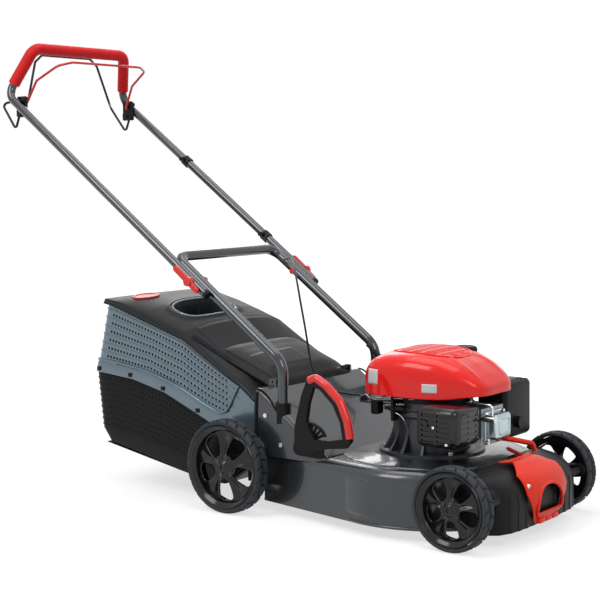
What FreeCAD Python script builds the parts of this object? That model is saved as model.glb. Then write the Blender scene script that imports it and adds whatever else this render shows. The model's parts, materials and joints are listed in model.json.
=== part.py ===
import FreeCAD, Part
import math
import os
import re
import Sketcher
from FreeCAD import Placement, Rotation, Vector

# Rotary lawn mower with grass box, in millimetres.  +X points forward, +Z up, and the ground is z = 0.
doc = FreeCAD.newDocument("LawnMower")

# ---------------------------------------------------------------- driving dimensions
dims = {
    # running gear
    "rear_wheel_x": 35.1, "wheelbase": 607.0,
    "rear_tyre_radius": 110.0, "front_tyre_radius": 90.0,
    "rear_rim_radius": 99.0, "front_rim_radius": 80.0, "rim_lip": 12.0, "spoke_count": 5.0,
    "rear_tyre_width": 41.0, "front_tyre_width": 38.0, "rear_track_half": 258.0, "front_track_half": 254.0,
    "hub_radius": 16.0, "web_thickness": 9.0, "spoke_width": 24.0,
    "stub_radius": 6.0, "running_fit": 0.05, "slack": 0.3,
    "ring_gear_radius": 61.5, "ring_gear_wall": 4.5, "rod_pin_play": 1.5,
    "swing_arm_thickness": 6.0, "swing_arm_half_width": 15.0,
    "front_swing_reach": 65.0, "front_pivot_z": 100.0, "rear_pivot_ahead": 46.0, "rear_pivot_z": 124.0,
    "swing_tube_radius": 8.0, "rod_pin_rise": 24.0, "front_pin_drop": 33.0, "rod_pin_radius": 3.0,
    "rod_plane_y": -158.0, "rod_thickness": 4.0,
    # cutting deck
    "blade_ahead": 411.0, "deck_radius": 238.0, "deck_rear_half": 175.0, "deck_rear_ahead": 60.0,
    "deck_bottom": 25.0, "deck_top": 150.0, "deck_shoulder": 24.0, "sheet_wall": 2.5,
    "chute_near": -50.0, "chute_far": 138.0, "chute_length": 144.0,
    "housing_half": 203.0, "housing_height": 292.0, "housing_bottom": 138.0, "housing_ridge": 14.0,
    "housing_slope_length": 200.0,
    "blade_half_length": 222.0, "blade_width": 54.0, "blade_thickness": 4.0, "blade_height": 51.0,
    "blade_bolt_hole": 10.2, "pilot_hole": 8.0,
    # engine
    "flange_radius": 120.0, "flange_thickness": 12.0, "spigot_radius": 60.0, "crankcase_radius": 88.0,
    "crankcase_top": 272.0, "crankshaft_radius": 12.5, "crankshaft_bottom": 62.0,
    "pulley_radius": 26.0, "pulley_height": 82.0, "pulley_width": 13.0, "groove_depth": 6.0,
    "flywheel_radius": 84.0, "flywheel_height": 300.0, "flywheel_width": 22.0,
    "recoil_radius": 36.0, "recoil_width": 10.0, "recoil_height": 338.0,
    "cowl_length": 306.0, "cowl_half": 122.0, "cowl_bottom": 290.0, "cowl_top": 386.0,
    "cowl_rear_behind": 132.0, "cowl_wall": 2.5,
    "head_start": 90.0, "head_end": 160.0, "head_near": -56.0, "head_far": 40.0, "head_low": 186.0, "head_high": 268.0,
    "cover_end": 190.0, "cover_near": -40.0, "cover_far": 26.0, "cover_low": 200.0, "cover_high": 256.0,
    "muffler_start": 63.0, "muffler_length": 104.0, "muffler_inner_y": -72.0,
    "muffler_outer_y": -175.0, "muffler_low": 196.0, "muffler_high": 286.0,
    "air_box_start": 92.0, "air_box_end": 166.0, "air_box_near": 64.0, "air_box_far": 162.0,
    "air_box_low": 186.0, "air_box_high": 312.0,
    "tank_near": 62.0, "tank_far": 108.0, "tank_ahead": 30.0, "tank_half_length": 58.0,
    "tank_low": 276.0, "tank_high": 352.0, "filler_radius": 18.0, "fuel_cap_radius": 29.0,
    "fuel_cap_height": 30.0, "fuel_cap_ahead": 32.0, "fuel_cap_y": 92.0, "fuel_cap_base": 357.0,
    "oil_cap_radius": 17.0,
    # drive train
    "gearbox_half_width": 24.0, "gearbox_y": -98.0, "gear_pulley_radius": 34.0, "gear_pulley_ahead": 104.0,
    "gear_shaft_radius": 6.0, "drive_shaft_radius": 6.0, "pinion_radius": 12.0, "pinion_width": 11.0,
    # handle
    "handle_tube": 12.5, "upper_tube": 11.0, "tube_wall": 1.6,
    "lower_leg_y": 186.5, "fold_gap": 0.5,
    "fold_behind": 117.0, "fold_height": 534.0, "handle_slope": 36.3,
    "socket_ahead": 129.0, "socket_top": 262.0, "socket_radius": 18.0, "socket_depth": 44.0,
    "leg_end": 222.0, "cross_behind": 192.0,
    "upper_tail": 48.0, "upper_reach": 786.0, "grip_rise": 118.0, "grip_radius": 15.0,
    "bail_radius": 3.2, "fold_bolt_radius": 4.0,
    # grass box
    "box_half": 190.0, "box_wall": 3.0, "box_rear_behind": 484.0, "box_top_behind": 437.0,
    "box_top_height": 470.0, "box_mouth_ahead": 86.0, "mouth_top": 262.0, "mouth_bottom": 150.3,
    "box_front_behind": 78.0, "box_floor": 52.0, "box_rear_low": 112.0, "box_rear_mid": 292.0,
    "lid_depth": 8.0, "lid_crown": 26.0, "lid_crown_half": 150.0, "seam_rear": 290.0,
    # rear flap
    "flap_hinge_ahead": 70.0, "flap_hinge_z": 302.0, "flap_length": 172.0, "flap_half": 148.0,
    "flap_thickness": 5.0, "flap_slope": 21.7, "flap_rod_radius": 3.0,
    # height lever
    "lever_pivot_ahead": 196.0, "lever_pivot_z": 178.0, "lever_y": -211.8,
    "lever_thickness": 11.0, "lever_bolt_radius": 5.0,
    # front end
    "apron_start": 596.0, "apron_half": 186.0, "apron_low": 30.0, "apron_high": 158.0,
    "apron_wall": 3.0, "apron_nose": 700.0, "front_handle_half": 88.0, "front_handle_nose": 714.0,
    "cable_radius": 2.6, "rope_radius": 1.8,
}
sheet = doc.addObject("Spreadsheet::Sheet", "Dims")
for row, (alias, number) in enumerate(dims.items(), start=1):
    sheet.set("A%d" % row, alias)
    sheet.set("B%d" % row, repr(number))
    sheet.setAlias("B%d" % row, alias)
doc.recompute()


def val(text):
    """Number of an expression made of aliases, read from the sheet."""
    found = {name: float(sheet.get(name)) for name in set(re.findall(r"[a-z_]{3,}", text)) if name in dims}
    total = 0.0
    for sign, term in re.findall(r"([+-]?)\s*([^+-]+)", text.replace(" ", "")):
        product = 1.0
        for operator, factor in re.findall(r"([*/]?)([^*/]+)", term):
            number = found[factor] if factor in found else float(factor)
            product = product / number if operator == "/" else product * number
        total += -product if sign == "-" else product
    return total


def flipped(text):
    """The same expression with its sign changed."""
    return "0-" + text.translate(str.maketrans("+-", "-+"))


def bound(text):
    """The same expression, written for the document's expression engine."""
    return re.sub(r"[a-z_]{3,}", lambda match: "Dims." + match.group(0), text)


def bind(obj, **links):
    for prop, text in links.items():
        obj.setExpression(prop.replace("__", "."), bound(text))
    return obj


def at(obj, x="0", y="0", z="0", turn=None):
    if turn is not None:
        obj.Placement = Placement(Vector(), turn)
    return bind(obj, Placement__Base__x=x, Placement__Base__y=y, Placement__Base__z=z)


ALONG = {"z": Rotation(), "y": Rotation(Vector(1, 0, 0), -90), "x": Rotation(Vector(0, 1, 0), 90)}
PIERCE = 2.0     # how far a cutting tool runs past a face
nodes = []


def node(obj, label):
    obj.Label = label
    nodes.append(obj)
    return obj


def block(name, x, y, z, length, width, height):
    obj = doc.addObject("Part::Box", name)
    bind(obj, Length=length, Width=width, Height=height)
    return at(obj, x, y, z)


def rod(name, x, y, z, radius, length, axis="z"):
    obj = doc.addObject("Part::Cylinder", name)
    bind(obj, Radius=radius, Height=length)
    return at(obj, x, y, z, ALONG[axis])


def cut(name, base, *tools):
    obj = doc.addObject("Part::Cut", name)
    obj.Base = base
    obj.Tool = tools[0] if len(tools) == 1 else group(name + "_tools", *tools)
    return obj


def group(name, *items):
    obj = doc.addObject("Part::MultiFuse", name)
    obj.Shapes = list(items)
    return obj


def overlap(name, base, tool):
    obj = doc.addObject("Part::Common", name)
    obj.Base = base
    obj.Tool = tool
    return obj


def bundle(name, *items):
    obj = doc.addObject("Part::Compound", name)
    obj.Links = list(items)
    return obj


def solid(name, shape):
    obj = doc.addObject("Part::Feature", name)
    obj.Shape = shape
    return obj


def plane(body, role):
    return next(item for item in body.Origin.OriginFeatures if item.Role == role)


def newSketch(body, name, role, lift="0"):
    sketch = body.newObject("Sketcher::SketchObject", name)
    sketch.AttachmentSupport = (plane(body, role), "")
    sketch.MapMode = "FlatFace"
    return bind(sketch, AttachmentOffset__Base__z=lift)


def outline(sketch, corners):
    """Closed polygon whose corners are held by coordinates from the sheet."""
    places = [Vector(val(u), val(v), 0) for u, v in corners]
    count = len(corners)
    for i in range(count):
        sketch.addGeometry(Part.LineSegment(places[i], places[(i + 1) % count]), False)
    for i in range(count):
        sketch.addConstraint(Sketcher.Constraint("Coincident", i, 2, (i + 1) % count, 1))
    for i, (u, v) in enumerate(corners):
        for kind, text, number in (("DistanceX", u, places[i].x), ("DistanceY", v, places[i].y)):
            index = sketch.addConstraint(Sketcher.Constraint(kind, i, 1, number))
            sketch.setExpression("Constraints[%d]" % index, bound(text))
    return sketch


def prism(name, role, corners, length, lift="0", both=False):
    """Body padded from one polygon, away from its plane or to both sides of it."""
    body = doc.addObject("PartDesign::Body", name)
    sketch = outline(newSketch(body, name + "_sketch", role, lift), corners)
    pad = body.newObject("PartDesign::Pad", name + "_pad")
    pad.Profile = sketch
    pad.Midplane = both
    bind(pad, Length=length)
    doc.recompute()
    return body


def sideProfile(name, corners, half):
    """Prism of a side-view polygon (x, z), as wide as twice the half width."""
    return prism(name, "XZ_Plane", corners, half + "+" + half, both=True)


def spun(name, corners):
    """Body revolved about its own Z axis from a polygon of (radius, height)."""
    body = doc.addObject("PartDesign::Body", name)
    sketch = outline(newSketch(body, name + "_sketch", "XZ_Plane"), corners)
    turn = body.newObject("PartDesign::Revolution", name + "_turn")
    turn.Profile = sketch
    turn.ReferenceAxis = (sketch, ["V_Axis"])
    turn.Angle = 360
    doc.recompute()
    return body


def rounded(body, radius, wanted):
    """Fillet on the edges of the body's last feature that the test picks."""
    doc.recompute()
    tip = body.Tip
    edges = ["Edge%d" % (i + 1) for i, edge in enumerate(tip.Shape.Edges) if wanted(edge)]
    fillet = body.newObject("PartDesign::Fillet", body.Name + "_fillet%d" % len(body.Group))
    fillet.Base = (tip, edges)
    bind(fillet, Radius=radius)
    doc.recompute()
    return body


def bentPath(points, bends):
    """Straight runs joined by tangent arcs, one bend radius for each inner point."""
    edges = []
    start = points[0]
    for i in range(1, len(points) - 1):
        corner = points[i]
        inward = (corner - points[i - 1]).normalize()
        onward = (points[i + 1] - corner).normalize()
        turn = inward.getAngle(onward)
        setback = bends[i - 1] * math.tan(turn / 2)
        first = corner - inward * setback
        last = corner + onward * setback
        toward = (onward - inward).normalize()
        middle = corner + toward * (bends[i - 1] / math.cos(turn / 2) - bends[i - 1])
        edges += [Part.LineSegment(start, first).toShape(), Part.Arc(first, middle, last).toShape()]
        start = last
    edges.append(Part.LineSegment(start, points[-1]).toShape())
    return Part.Wire(edges)


def sweep(path, radius):
    tangent = path.Edges[0].tangentAt(path.Edges[0].FirstParameter)
    start = path.Edges[0].valueAt(path.Edges[0].FirstParameter)
    profile = Part.Wire(Part.Circle(start, tangent, radius).toShape())
    shape = path.makePipeShell([profile], True, False)
    wanted = math.pi * radius ** 2 * path.Length
    if abs(shape.Volume / wanted - 1) > 0.01:
        raise ValueError("a sweep has the wrong volume")
    return shape


def tubing(path, radius, wall):
    """Tube with open ends: the bore is cut only where the wall leaves one."""
    outer = sweep(path, radius)
    return outer.cut(sweep(path, radius - wall)) if wall < radius else outer


def softRadii(points):
    """Largest tidy arc at each inner point of a cable's route, printed for checking."""
    radii = []
    for i in range(1, len(points) - 1):
        back = points[i] - points[i - 1]
        ahead = points[i + 1] - points[i]
        turn = back.getAngle(ahead)
        radii.append(0.45 * min(back.Length, ahead.Length) / math.tan(turn / 2))
    print("arc radii:", [round(radius) for radius in radii])
    return radii


# ---------------------------------------------------------------- cutting deck
ENGINE = "rear_wheel_x + blade_ahead"
FRONT_WHEEL = "rear_wheel_x + wheelbase"


def deckDome(name, inset, drop, fillet):
    """Round front with two straight sides running back to it, rounded at the top."""
    wall = "-" + inset if inset else ""
    radius = val("deck_radius" + wall)
    half = val("deck_rear_half" + wall)
    centre = Vector(val(ENGINE), 0, 0)
    rear = val("rear_wheel_x + deck_rear_ahead" + ("+" + inset if inset else ""))
    reach = Vector(rear - centre.x, half, 0)
    angle = math.atan2(reach.y, reach.x) - math.acos(radius / reach.Length)
    touch = centre + Vector(radius * math.cos(angle), radius * math.sin(angle), 0)
    body = doc.addObject("PartDesign::Body", name)
    sketch = newSketch(body, name + "_sketch", "XY_Plane", "deck_bottom" + drop)
    front = Part.Arc(Vector(touch.x, -touch.y, 0), centre + Vector(radius, 0, 0), touch)
    sketch.addGeometry(front, False)
    sketch.addGeometry(Part.LineSegment(touch, Vector(rear, half, 0)), False)
    sketch.addGeometry(Part.LineSegment(Vector(rear, half, 0), Vector(rear, -half, 0)), False)
    sketch.addGeometry(Part.LineSegment(Vector(rear, -half, 0), Vector(touch.x, -touch.y, 0)), False)
    for kind, first, second in (("Tangent", (0, 2), (1, 1)), ("Coincident", (1, 2), (2, 1)),
                                ("Coincident", (2, 2), (3, 1)), ("Tangent", (3, 2), (0, 1))):
        sketch.addConstraint(Sketcher.Constraint(kind, *first, *second))
    held = (("DistanceX", (0, 3), centre.x, ENGINE), ("DistanceY", (0, 3), 0.0, "0"),
            ("DistanceX", (2, 1), rear, "rear_wheel_x + deck_rear_ahead" + ("+" + inset if inset else "")),
            ("DistanceY", (2, 1), half, "deck_rear_half" + wall),
            ("DistanceX", (2, 2), rear, "rear_wheel_x + deck_rear_ahead" + ("+" + inset if inset else "")),
            ("DistanceY", (2, 2), -half, "0 - deck_rear_half" + ("+" + inset if inset else "")))
    for kind, point, number, text in held:
        index = sketch.addConstraint(Sketcher.Constraint(kind, *point, number))
        sketch.setExpression("Constraints[%d]" % index, bound(text))
    index = sketch.addConstraint(Sketcher.Constraint("Radius", 0, radius))
    sketch.setExpression("Constraints[%d]" % index, bound("deck_radius" + wall))
    pad = body.newObject("PartDesign::Pad", name + "_pad")
    pad.Profile = sketch
    bind(pad, Length="deck_top" + wall + "-deck_bottom" + ("+%g" % PIERCE if inset else ""))
    doc.recompute()
    top = max(vertex.Point.z for vertex in body.Shape.Vertexes)
    return rounded(body, fillet, lambda edge: all(abs(v.Point.z - top) < 1e-6 for v in edge.Vertexes))


deck_outer = deckDome("deck_outer", "", "", "deck_shoulder")
deck_inner = deckDome("deck_inner", "sheet_wall", "-%g" % PIERCE, "deck_shoulder-sheet_wall")
CHUTE_START = "rear_wheel_x + deck_rear_ahead + sheet_wall"
GEARBOX_X = "rear_wheel_x + rear_pivot_ahead"
deck_holes = [
    rod("engine_hole", ENGINE, "0", "deck_top-deck_shoulder", "spigot_radius+slack", "deck_shoulder*2"),
    block("chute_hole", CHUTE_START, "chute_near", "deck_top-sheet_wall*4", "chute_length",
          "chute_far-chute_near", "sheet_wall*8"),
    block("gearbox_slot", "rear_wheel_x + deck_rear_ahead-%g" % PIERCE,
          "gearbox_y-gearbox_half_width-%g" % 12, "pulley_height-4", "sheet_wall+%g" % (2 * PIERCE),
          "gearbox_half_width*2+24", "deck_top-pulley_height-sheet_wall*4"),
    block("rod_slot_rear", "rear_wheel_x + deck_rear_ahead-%g" % PIERCE, "rod_plane_y-5",
          "rear_pivot_z-rod_pin_rise-12", "sheet_wall+%g" % (2 * PIERCE), "14", "24"),
    block("rod_slot_front", FRONT_WHEEL + "-60", "rod_plane_y-5", "front_pivot_z-rod_pin_rise-18",
          "60+front_swing_reach", "14", "36"),
    block("link_slot", "rear_wheel_x + lever_pivot_ahead-26", "rod_plane_y-5", "deck_top-sheet_wall*4",
          "52", "14", "sheet_wall*8"),
]
node(cut("deck_sheet", cut("deck_hollow", deck_outer, deck_inner), *deck_holes), "deck_shell")

# The rear housing is a wedge-shaped tunnel that stands on the deck and leads the clippings back.
def wedge(name, inset):
    wall = "+" + inset if inset else ""
    start = "rear_wheel_x + deck_rear_ahead" + ("-%g" % PIERCE if inset else "")
    corners = [(start, "housing_bottom" + ("-%g" % PIERCE if inset else "")),
               ("rear_wheel_x + deck_rear_ahead + housing_slope_length" + ("-" + inset if inset else ""),
                "housing_bottom" + ("-%g" % PIERCE if inset else "")),
               ("rear_wheel_x + deck_rear_ahead + housing_slope_length" + ("-" + inset if inset else ""),
                "housing_bottom+housing_ridge" + ("-" + inset if inset else "")),
               ("rear_wheel_x + deck_rear_ahead + housing_ridge",
                "housing_height" + ("-" + inset if inset else "")),
               (start, "housing_height" + ("-" + inset if inset else ""))]
    body = sideProfile(name, corners, "housing_half" + ("-" + inset if inset else ""))
    half = val("housing_half" + ("-" + inset if inset else ""))
    low = val("housing_bottom+housing_ridge") - val("sheet_wall") * 2
    side = lambda edge: all(abs(abs(v.Point.y) - half) < 1e-6 and v.Point.z > low for v in edge.Vertexes)
    level = lambda edge: abs(edge.Vertexes[0].Point.y - edge.Vertexes[-1].Point.y) < 1e-6
    sloped = lambda edge: side(edge) and level(edge) and edge.Length > val("housing_ridge") * 0.5
    upright = lambda edge: abs(edge.Vertexes[0].Point.x - edge.Vertexes[-1].Point.x) < 1e-6
    return rounded(body, "housing_ridge" + ("-" + inset if inset else ""),
                   lambda edge: sloped(edge) and not upright(edge))


housing_shell = cut("housing_hollow", wedge("housing_outer", ""), wedge("housing_inner", "sheet_wall"))
SOCKET_X = "rear_wheel_x + socket_ahead"
LEVER_X = "rear_wheel_x + lever_pivot_ahead"
socket_holes = [rod("socket_hole_" + side, SOCKET_X, y, "socket_top-socket_depth-%g" % PIERCE,
                    "socket_radius+running_fit", "socket_depth+40")
                for side, y in (("near", "0-lower_leg_y"), ("far", "lower_leg_y"))]
lever_hole = rod("lever_hole", LEVER_X, "0-housing_half-6", "lever_pivot_z",
                 "lever_bolt_radius+running_fit", "24", "y")
housing_sheet = cut("housing_sheet", housing_shell, deck_outer, lever_hole, *socket_holes)

# Plates welded to the deck's sides carry the flanged bushes that the rear arms swing on.
bracket_parts = []
for side in (-1, 1):
    name = "near" if side < 0 else "far"
    front = "" if side > 0 else "0-"
    y_low = "deck_rear_half+12" if side > 0 else "0-deck_rear_half-16"
    plate = block("axle_plate_" + name, GEARBOX_X + "-22", y_low, "deck_bottom+45", "120", "4",
                  "housing_bottom-deck_bottom-46")
    bush_y = "deck_rear_half+12" if side > 0 else "0-rear_track_half+rear_tyre_width+3"
    bush = rod("rear_bush_" + name, GEARBOX_X, bush_y, "rear_pivot_z", "swing_tube_radius",
               "rear_track_half-rear_tyre_width-3-deck_rear_half-12", "y")
    bore = rod("rear_bush_bore_" + name, GEARBOX_X,
               front + "deck_rear_half" if side > 0 else "0-rear_track_half",
               "rear_pivot_z", "drive_shaft_radius+running_fit", "rear_track_half-deck_rear_half", "y")
    bracket_parts.append(cut("rear_bracket_" + name, group("rear_bracket_blank_" + name, plate, bush),
                             deck_outer, bore))
FRONT_PIVOT = FRONT_WHEEL + " + front_swing_reach"
for side, y in (("near", "0-146"), ("far", "150")):
    ear = block("front_ear_" + side, ENGINE, y, "front_pivot_z-16",
                "wheelbase-blade_ahead+front_swing_reach+9",
                "4", "32")
    hole = rod("front_ear_hole_" + side, FRONT_PIVOT, y + "-2", "front_pivot_z",
               "swing_tube_radius+running_fit", "8", "y")
    bracket_parts.append(cut("front_bracket_" + side, ear, deck_outer, hole))
node(bundle("brackets", *bracket_parts), "axle_brackets")

# ---------------------------------------------------------------- engine
def shaftRing(name, x, radius, bore, low, height):
    """Flat ring about an upright shaft."""
    ring = rod(name + "_disc", x, "0", low, radius, height)
    return cut(name, ring, rod(name + "_bore", x, "0", low + "-1", bore, height + "+2"))


crankcase = group("crankcase",
                  rod("engine_flange", ENGINE, "0", "deck_top", "flange_radius", "flange_thickness"),
                  rod("engine_spigot", ENGINE, "0", "deck_top-10", "spigot_radius", "12"),
                  rod("crankcase_drum", ENGINE, "0", "deck_top+flange_thickness-1", "crankcase_radius",
                      "crankcase_top-deck_top-flange_thickness+1"),
                  block("cylinder_barrel", ENGINE, "head_near+8", "head_low+6", "head_start",
                        "head_far-head_near-16", "head_high-head_low-12"))
crank_bore = rod("crank_bore", ENGINE, "0", "deck_top-12", "crankshaft_radius+running_fit",
                 "crankcase_top-deck_top+14")
sump = rod("sump_hollow", ENGINE, "0", "deck_top+8", "crankcase_radius-8", "crankcase_top-deck_top-18")
OIL_X, OIL_Y = ENGINE + "-67", "84"
OIL_TOP = "crankcase_top-14"
oil_tube = rod("oil_tube", OIL_X, OIL_Y, "deck_top+4", "oil_cap_radius-5", "crankcase_top-deck_top-18")
control_plate = block("control_plate", ENGINE + "-150", "0-72", "crankcase_top-12", "84", "40", "4")
control_tab = block("control_tab", ENGINE + "-150", "0-72", "crankcase_top-12", "4", "40", "15")
oil_neck = rod("oil_neck_hole", OIL_X, OIL_Y, "deck_top+flange_thickness", "oil_cap_radius-8", "130")
node(cut("engine_casting", group("engine_parts", crankcase, oil_tube, control_plate, control_tab),
         crank_bore, sump, oil_neck), "engine_block")

head_blank = block("head_blank", ENGINE + "+head_start", "head_near", "head_low", "head_end-head_start",
                   "head_far-head_near", "head_high-head_low")
fin_gaps = [block("fin_gap_%d" % i, ENGINE + "+head_start+%g" % (6 + 9 * i), "head_near-1", "head_low+8",
                  "4",
                  "12", "head_high-head_low-16") for i in range(6)]
PLUG_Y, PLUG_Z = "head_near+6", "head_high-20"
plug_hole = rod("plug_hole", ENGINE + "+head_end-14", PLUG_Y, PLUG_Z, "4.5", "16", "x")
node(cut("head_casting", head_blank, plug_hole, *fin_gaps), "cylinder_head")
cover = block("cover_blank", ENGINE + "+head_end", "cover_near", "cover_low", "cover_end-head_end",
              "cover_far-cover_near", "cover_high-cover_low")
cover_round = doc.addObject("Part::Fillet", "cover_round")
cover_round.Base = cover
doc.recompute()
cover_face = val(ENGINE + "+head_end")
cover_round.Edges = [(i + 1, 6.0, 6.0) for i, edge in enumerate(cover.Shape.Edges)
                     if not all(abs(v.Point.x - cover_face) < 1e-6 for v in edge.Vertexes)]
node(cover_round, "valve_cover")

# A slotted heat guard closes round the silencer can on the near side.
MUFFLER_X = ENGINE + "+muffler_start"
guard_blank = block("guard_blank", MUFFLER_X, "muffler_outer_y", "muffler_low", "muffler_length",
                    "muffler_inner_y-muffler_outer_y", "muffler_high-muffler_low")
guard_round = doc.addObject("Part::Fillet", "guard_round")
guard_round.Base = guard_blank
doc.recompute()
guard_round.Edges = [(i + 1, 10.0, 10.0) for i, edge in enumerate(guard_blank.Shape.Edges)
                     if all(abs(v.Point.y - val("muffler_outer_y")) < 1e-6 for v in edge.Vertexes)
                     or (abs(edge.Vertexes[0].Point.y - edge.Vertexes[-1].Point.y) > 1
                         and edge.Vertexes[0].Point.x > val(MUFFLER_X) + 1)]
guard_hollow = block("guard_hollow", MUFFLER_X + "+3", "muffler_outer_y+3", "muffler_low+3",
                     "muffler_length-6", "muffler_inner_y-muffler_outer_y", "muffler_high-muffler_low-6")
guard_slots = [block("guard_slot_%d_%d" % (column, line), MUFFLER_X + "+%g" % (18 + 42 * column),
                     "muffler_outer_y-1", "muffler_low+%g" % (20 + 13 * line), "30", "6", "5")
               for column in range(2) for line in range(5)]
can = block("silencer_can", MUFFLER_X + "+3+slack", "muffler_outer_y+8", "muffler_low+6",
            "muffler_length-6-slack-slack",
            "muffler_inner_y-muffler_outer_y-8", "muffler_high-muffler_low-12")
pipe = rod("exhaust_pipe", ENGINE + "+head_start+18", "muffler_inner_y", "muffler_low+30", "11",
           "head_near-muffler_inner_y", "y")
node(bundle("muffler_parts", cut("guard_sheet", guard_round, guard_hollow, *guard_slots),
            group("silencer", can, pipe)), "muffler")

plug_steel = group("plug_steel", rod("plug_thread", ENGINE + "+head_end-12", PLUG_Y, PLUG_Z, "4.5", "14",
                                     "x"),
                   rod("plug_hex", ENGINE + "+head_end", PLUG_Y, PLUG_Z, "6.5", "8", "x"))
plug_boot = rod("plug_boot", ENGINE + "+head_end+8", PLUG_Y, PLUG_Z, "7.5", "24", "x")
lead_spots = [Vector(val(ENGINE + "+head_end") + dx, val(PLUG_Y), val("cowl_bottom") + dz)
              for dx, dz in ((24, -34), (24, -12), (-20, -9), (-44, 14))]
lead = solid("plug_lead", sweep(bentPath(lead_spots, [9, 18]), 3.0))
node(bundle("plug_set", plug_steel, plug_boot, lead), "spark_plug")

air_blank = block("air_blank", ENGINE + "+air_box_start", "air_box_near", "air_box_low",
                  "air_box_end-air_box_start", "air_box_far-air_box_near", "air_box_high-air_box_low")
intake = block("intake_duct", ENGINE + "+head_start+10", "head_far", "head_low+20", "40",
               "air_box_near-head_far", "44")
air_hollow = block("air_hollow", ENGINE + "+air_box_start+3", "air_box_near+3", "air_box_low+3",
                   "air_box_end-air_box_start-6", "air_box_far-air_box_near-6", "air_box_high-air_box_low-6")
knob_seat = rod("knob_hole", ENGINE + "+air_box_end-16", "air_box_near+30", "air_box_low+34",
                "3+running_fit", "22", "x")
node(cut("air_case", group("air_parts", air_blank, intake), air_hollow, knob_seat), "air_filter_box")
knob_head = rod("knob_head", ENGINE + "+air_box_end+slack", "air_box_near+30", "air_box_low+34", "13",
                "11", "x")
knob_stem = rod("knob_stem", ENGINE + "+air_box_end-12", "air_box_near+30", "air_box_low+34", "3", "14",
                "x")
node(group("knob_whole", knob_head, knob_stem), "air_filter_knob")

TANK_X = ENGINE + "+tank_ahead"
tank = group("tank_parts",
             block("tank_blank", TANK_X + "-tank_half_length", "tank_near", "tank_low",
                   "tank_half_length*2",
                   "tank_far-tank_near", "tank_high-tank_low"),
             rod("filler_neck", ENGINE + "+fuel_cap_ahead", "fuel_cap_y", "tank_high-8", "filler_radius",
                 "fuel_cap_base+14-tank_high"))
tank_hollow = block("tank_hollow", TANK_X + "-tank_half_length+3", "tank_near+3", "tank_low+3",
                    "tank_half_length*2-6", "tank_far-tank_near-6", "tank_high-tank_low-6")
neck_hole = rod("filler_hole", ENGINE + "+fuel_cap_ahead", "fuel_cap_y", "tank_high-12",
                "filler_radius-3", "60")
blower_clear = rod("blower_clear", ENGINE, "0", "tank_low-1", "flywheel_radius+9+slack",
                   "recoil_height-tank_low")
blower_wall_in = rod("blower_wall_in", ENGINE, "0", "tank_low-1", "flywheel_radius+12",
                     "recoil_height-tank_low+3")
node(cut("tank_shell", tank, cut("tank_room", tank_hollow, blower_wall_in), blower_clear, neck_hole),
     "fuel_tank")
cap = cut("cap_shell",
          rod("cap_blank", ENGINE + "+fuel_cap_ahead", "fuel_cap_y", "fuel_cap_base+slack*2",
              "fuel_cap_radius", "fuel_cap_height-4"),
          rod("cap_hollow", ENGINE + "+fuel_cap_ahead", "fuel_cap_y", "fuel_cap_base-1",
              "filler_radius+slack", "8+6+slack"))
flute_spots = [(math.cos(math.radians(a)), math.sin(math.radians(a))) for a in range(0, 360, 30)]
flutes = [rod("cap_flute_%d" % i, ENGINE + "+fuel_cap_ahead+fuel_cap_radius*%.5f" % c,
              "fuel_cap_y+fuel_cap_radius*%.5f" % s, "fuel_cap_base+10", "4", "fuel_cap_height")
          for i, (c, s) in enumerate(flute_spots)]
node(cut("cap_fluted", cap, *flutes), "fuel_cap")
node(group("dipstick", rod("oil_head", OIL_X, OIL_Y, OIL_TOP + "+slack", "oil_cap_radius", "8"),
           rod("oil_stem", OIL_X, OIL_Y, OIL_TOP + "-60", "oil_cap_radius-8-running_fit", "64")), "oil_cap")

# ---------------------------------------------------------------- cowl
def cowlDome(name, inset):
    wall = "-" + inset if inset else ""
    grow = "+" + inset if inset else ""
    low = "cowl_bottom" + ("-%g" % PIERCE if inset else "")
    rear = ENGINE + "-cowl_rear_behind" + grow
    front = ENGINE + "-cowl_rear_behind+cowl_length" + wall
    half = "cowl_half" + wall
    waist = "cowl_half-26" + wall
    side = [(rear, waist), (rear + "+34", half), (front + "-96", half), (front + "-30",
                                                                         "cowl_half-42" + wall),
            (front, "cowl_half-84" + wall)]
    corners = [(x, flipped(y)) for x, y in side] + side[::-1]
    body = prism(name, "XY_Plane", corners, "cowl_top" + wall + "-" + low.replace("-", "+"), low)
    return body


def slopeTool(name, inset):
    """Wedge above the cowl's falling front and its shoulders."""
    wall = "-" + inset if inset else ""
    start = ENGINE + "+40"
    end = ENGINE + "-cowl_rear_behind+cowl_length+10"
    corners = [(start, "cowl_top" + wall), (end, "cowl_bottom+36" + wall), (end, "cowl_top+40"),
               (start, "cowl_top+40")]
    return sideProfile(name, corners, "cowl_half+10")


cowl_outer = cut("cowl_outer", cowlDome("cowl_block", ""), slopeTool("cowl_slope", ""))
cowl_inner = cut("cowl_inner", cowlDome("cowl_block_inner", "cowl_wall"), slopeTool("cowl_slope_inner",
                                                                                    "cowl_wall"))
cap_gap = rod("cap_gap", ENGINE + "+fuel_cap_ahead", "fuel_cap_y", "cowl_bottom+20", "fuel_cap_radius+2",
              "120")
air_gap = block("air_gap", ENGINE + "+air_box_start-2", "air_box_near-2", "cowl_bottom-3",
                "air_box_end-air_box_start+40", "air_box_far-air_box_near+6", "air_box_high-cowl_bottom+5")
grille_slots = [block("grille_slot_%d" % i, ENGINE + "-64+%g" % (14 * i), "0-46", "cowl_top-8", "7", "92",
                      "20")
                for i in range(8)]
rope_gap = rod("rope_gap", ENGINE + "-cowl_rear_behind-6", "recoil_radius-5+rope_radius+slack",
               "recoil_height+5", "rope_radius+2", "24", "x")
node(cut("cowl_sheet", cowl_outer, cowl_inner, cap_gap, air_gap, rope_gap, *grille_slots), "cowl")

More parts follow.
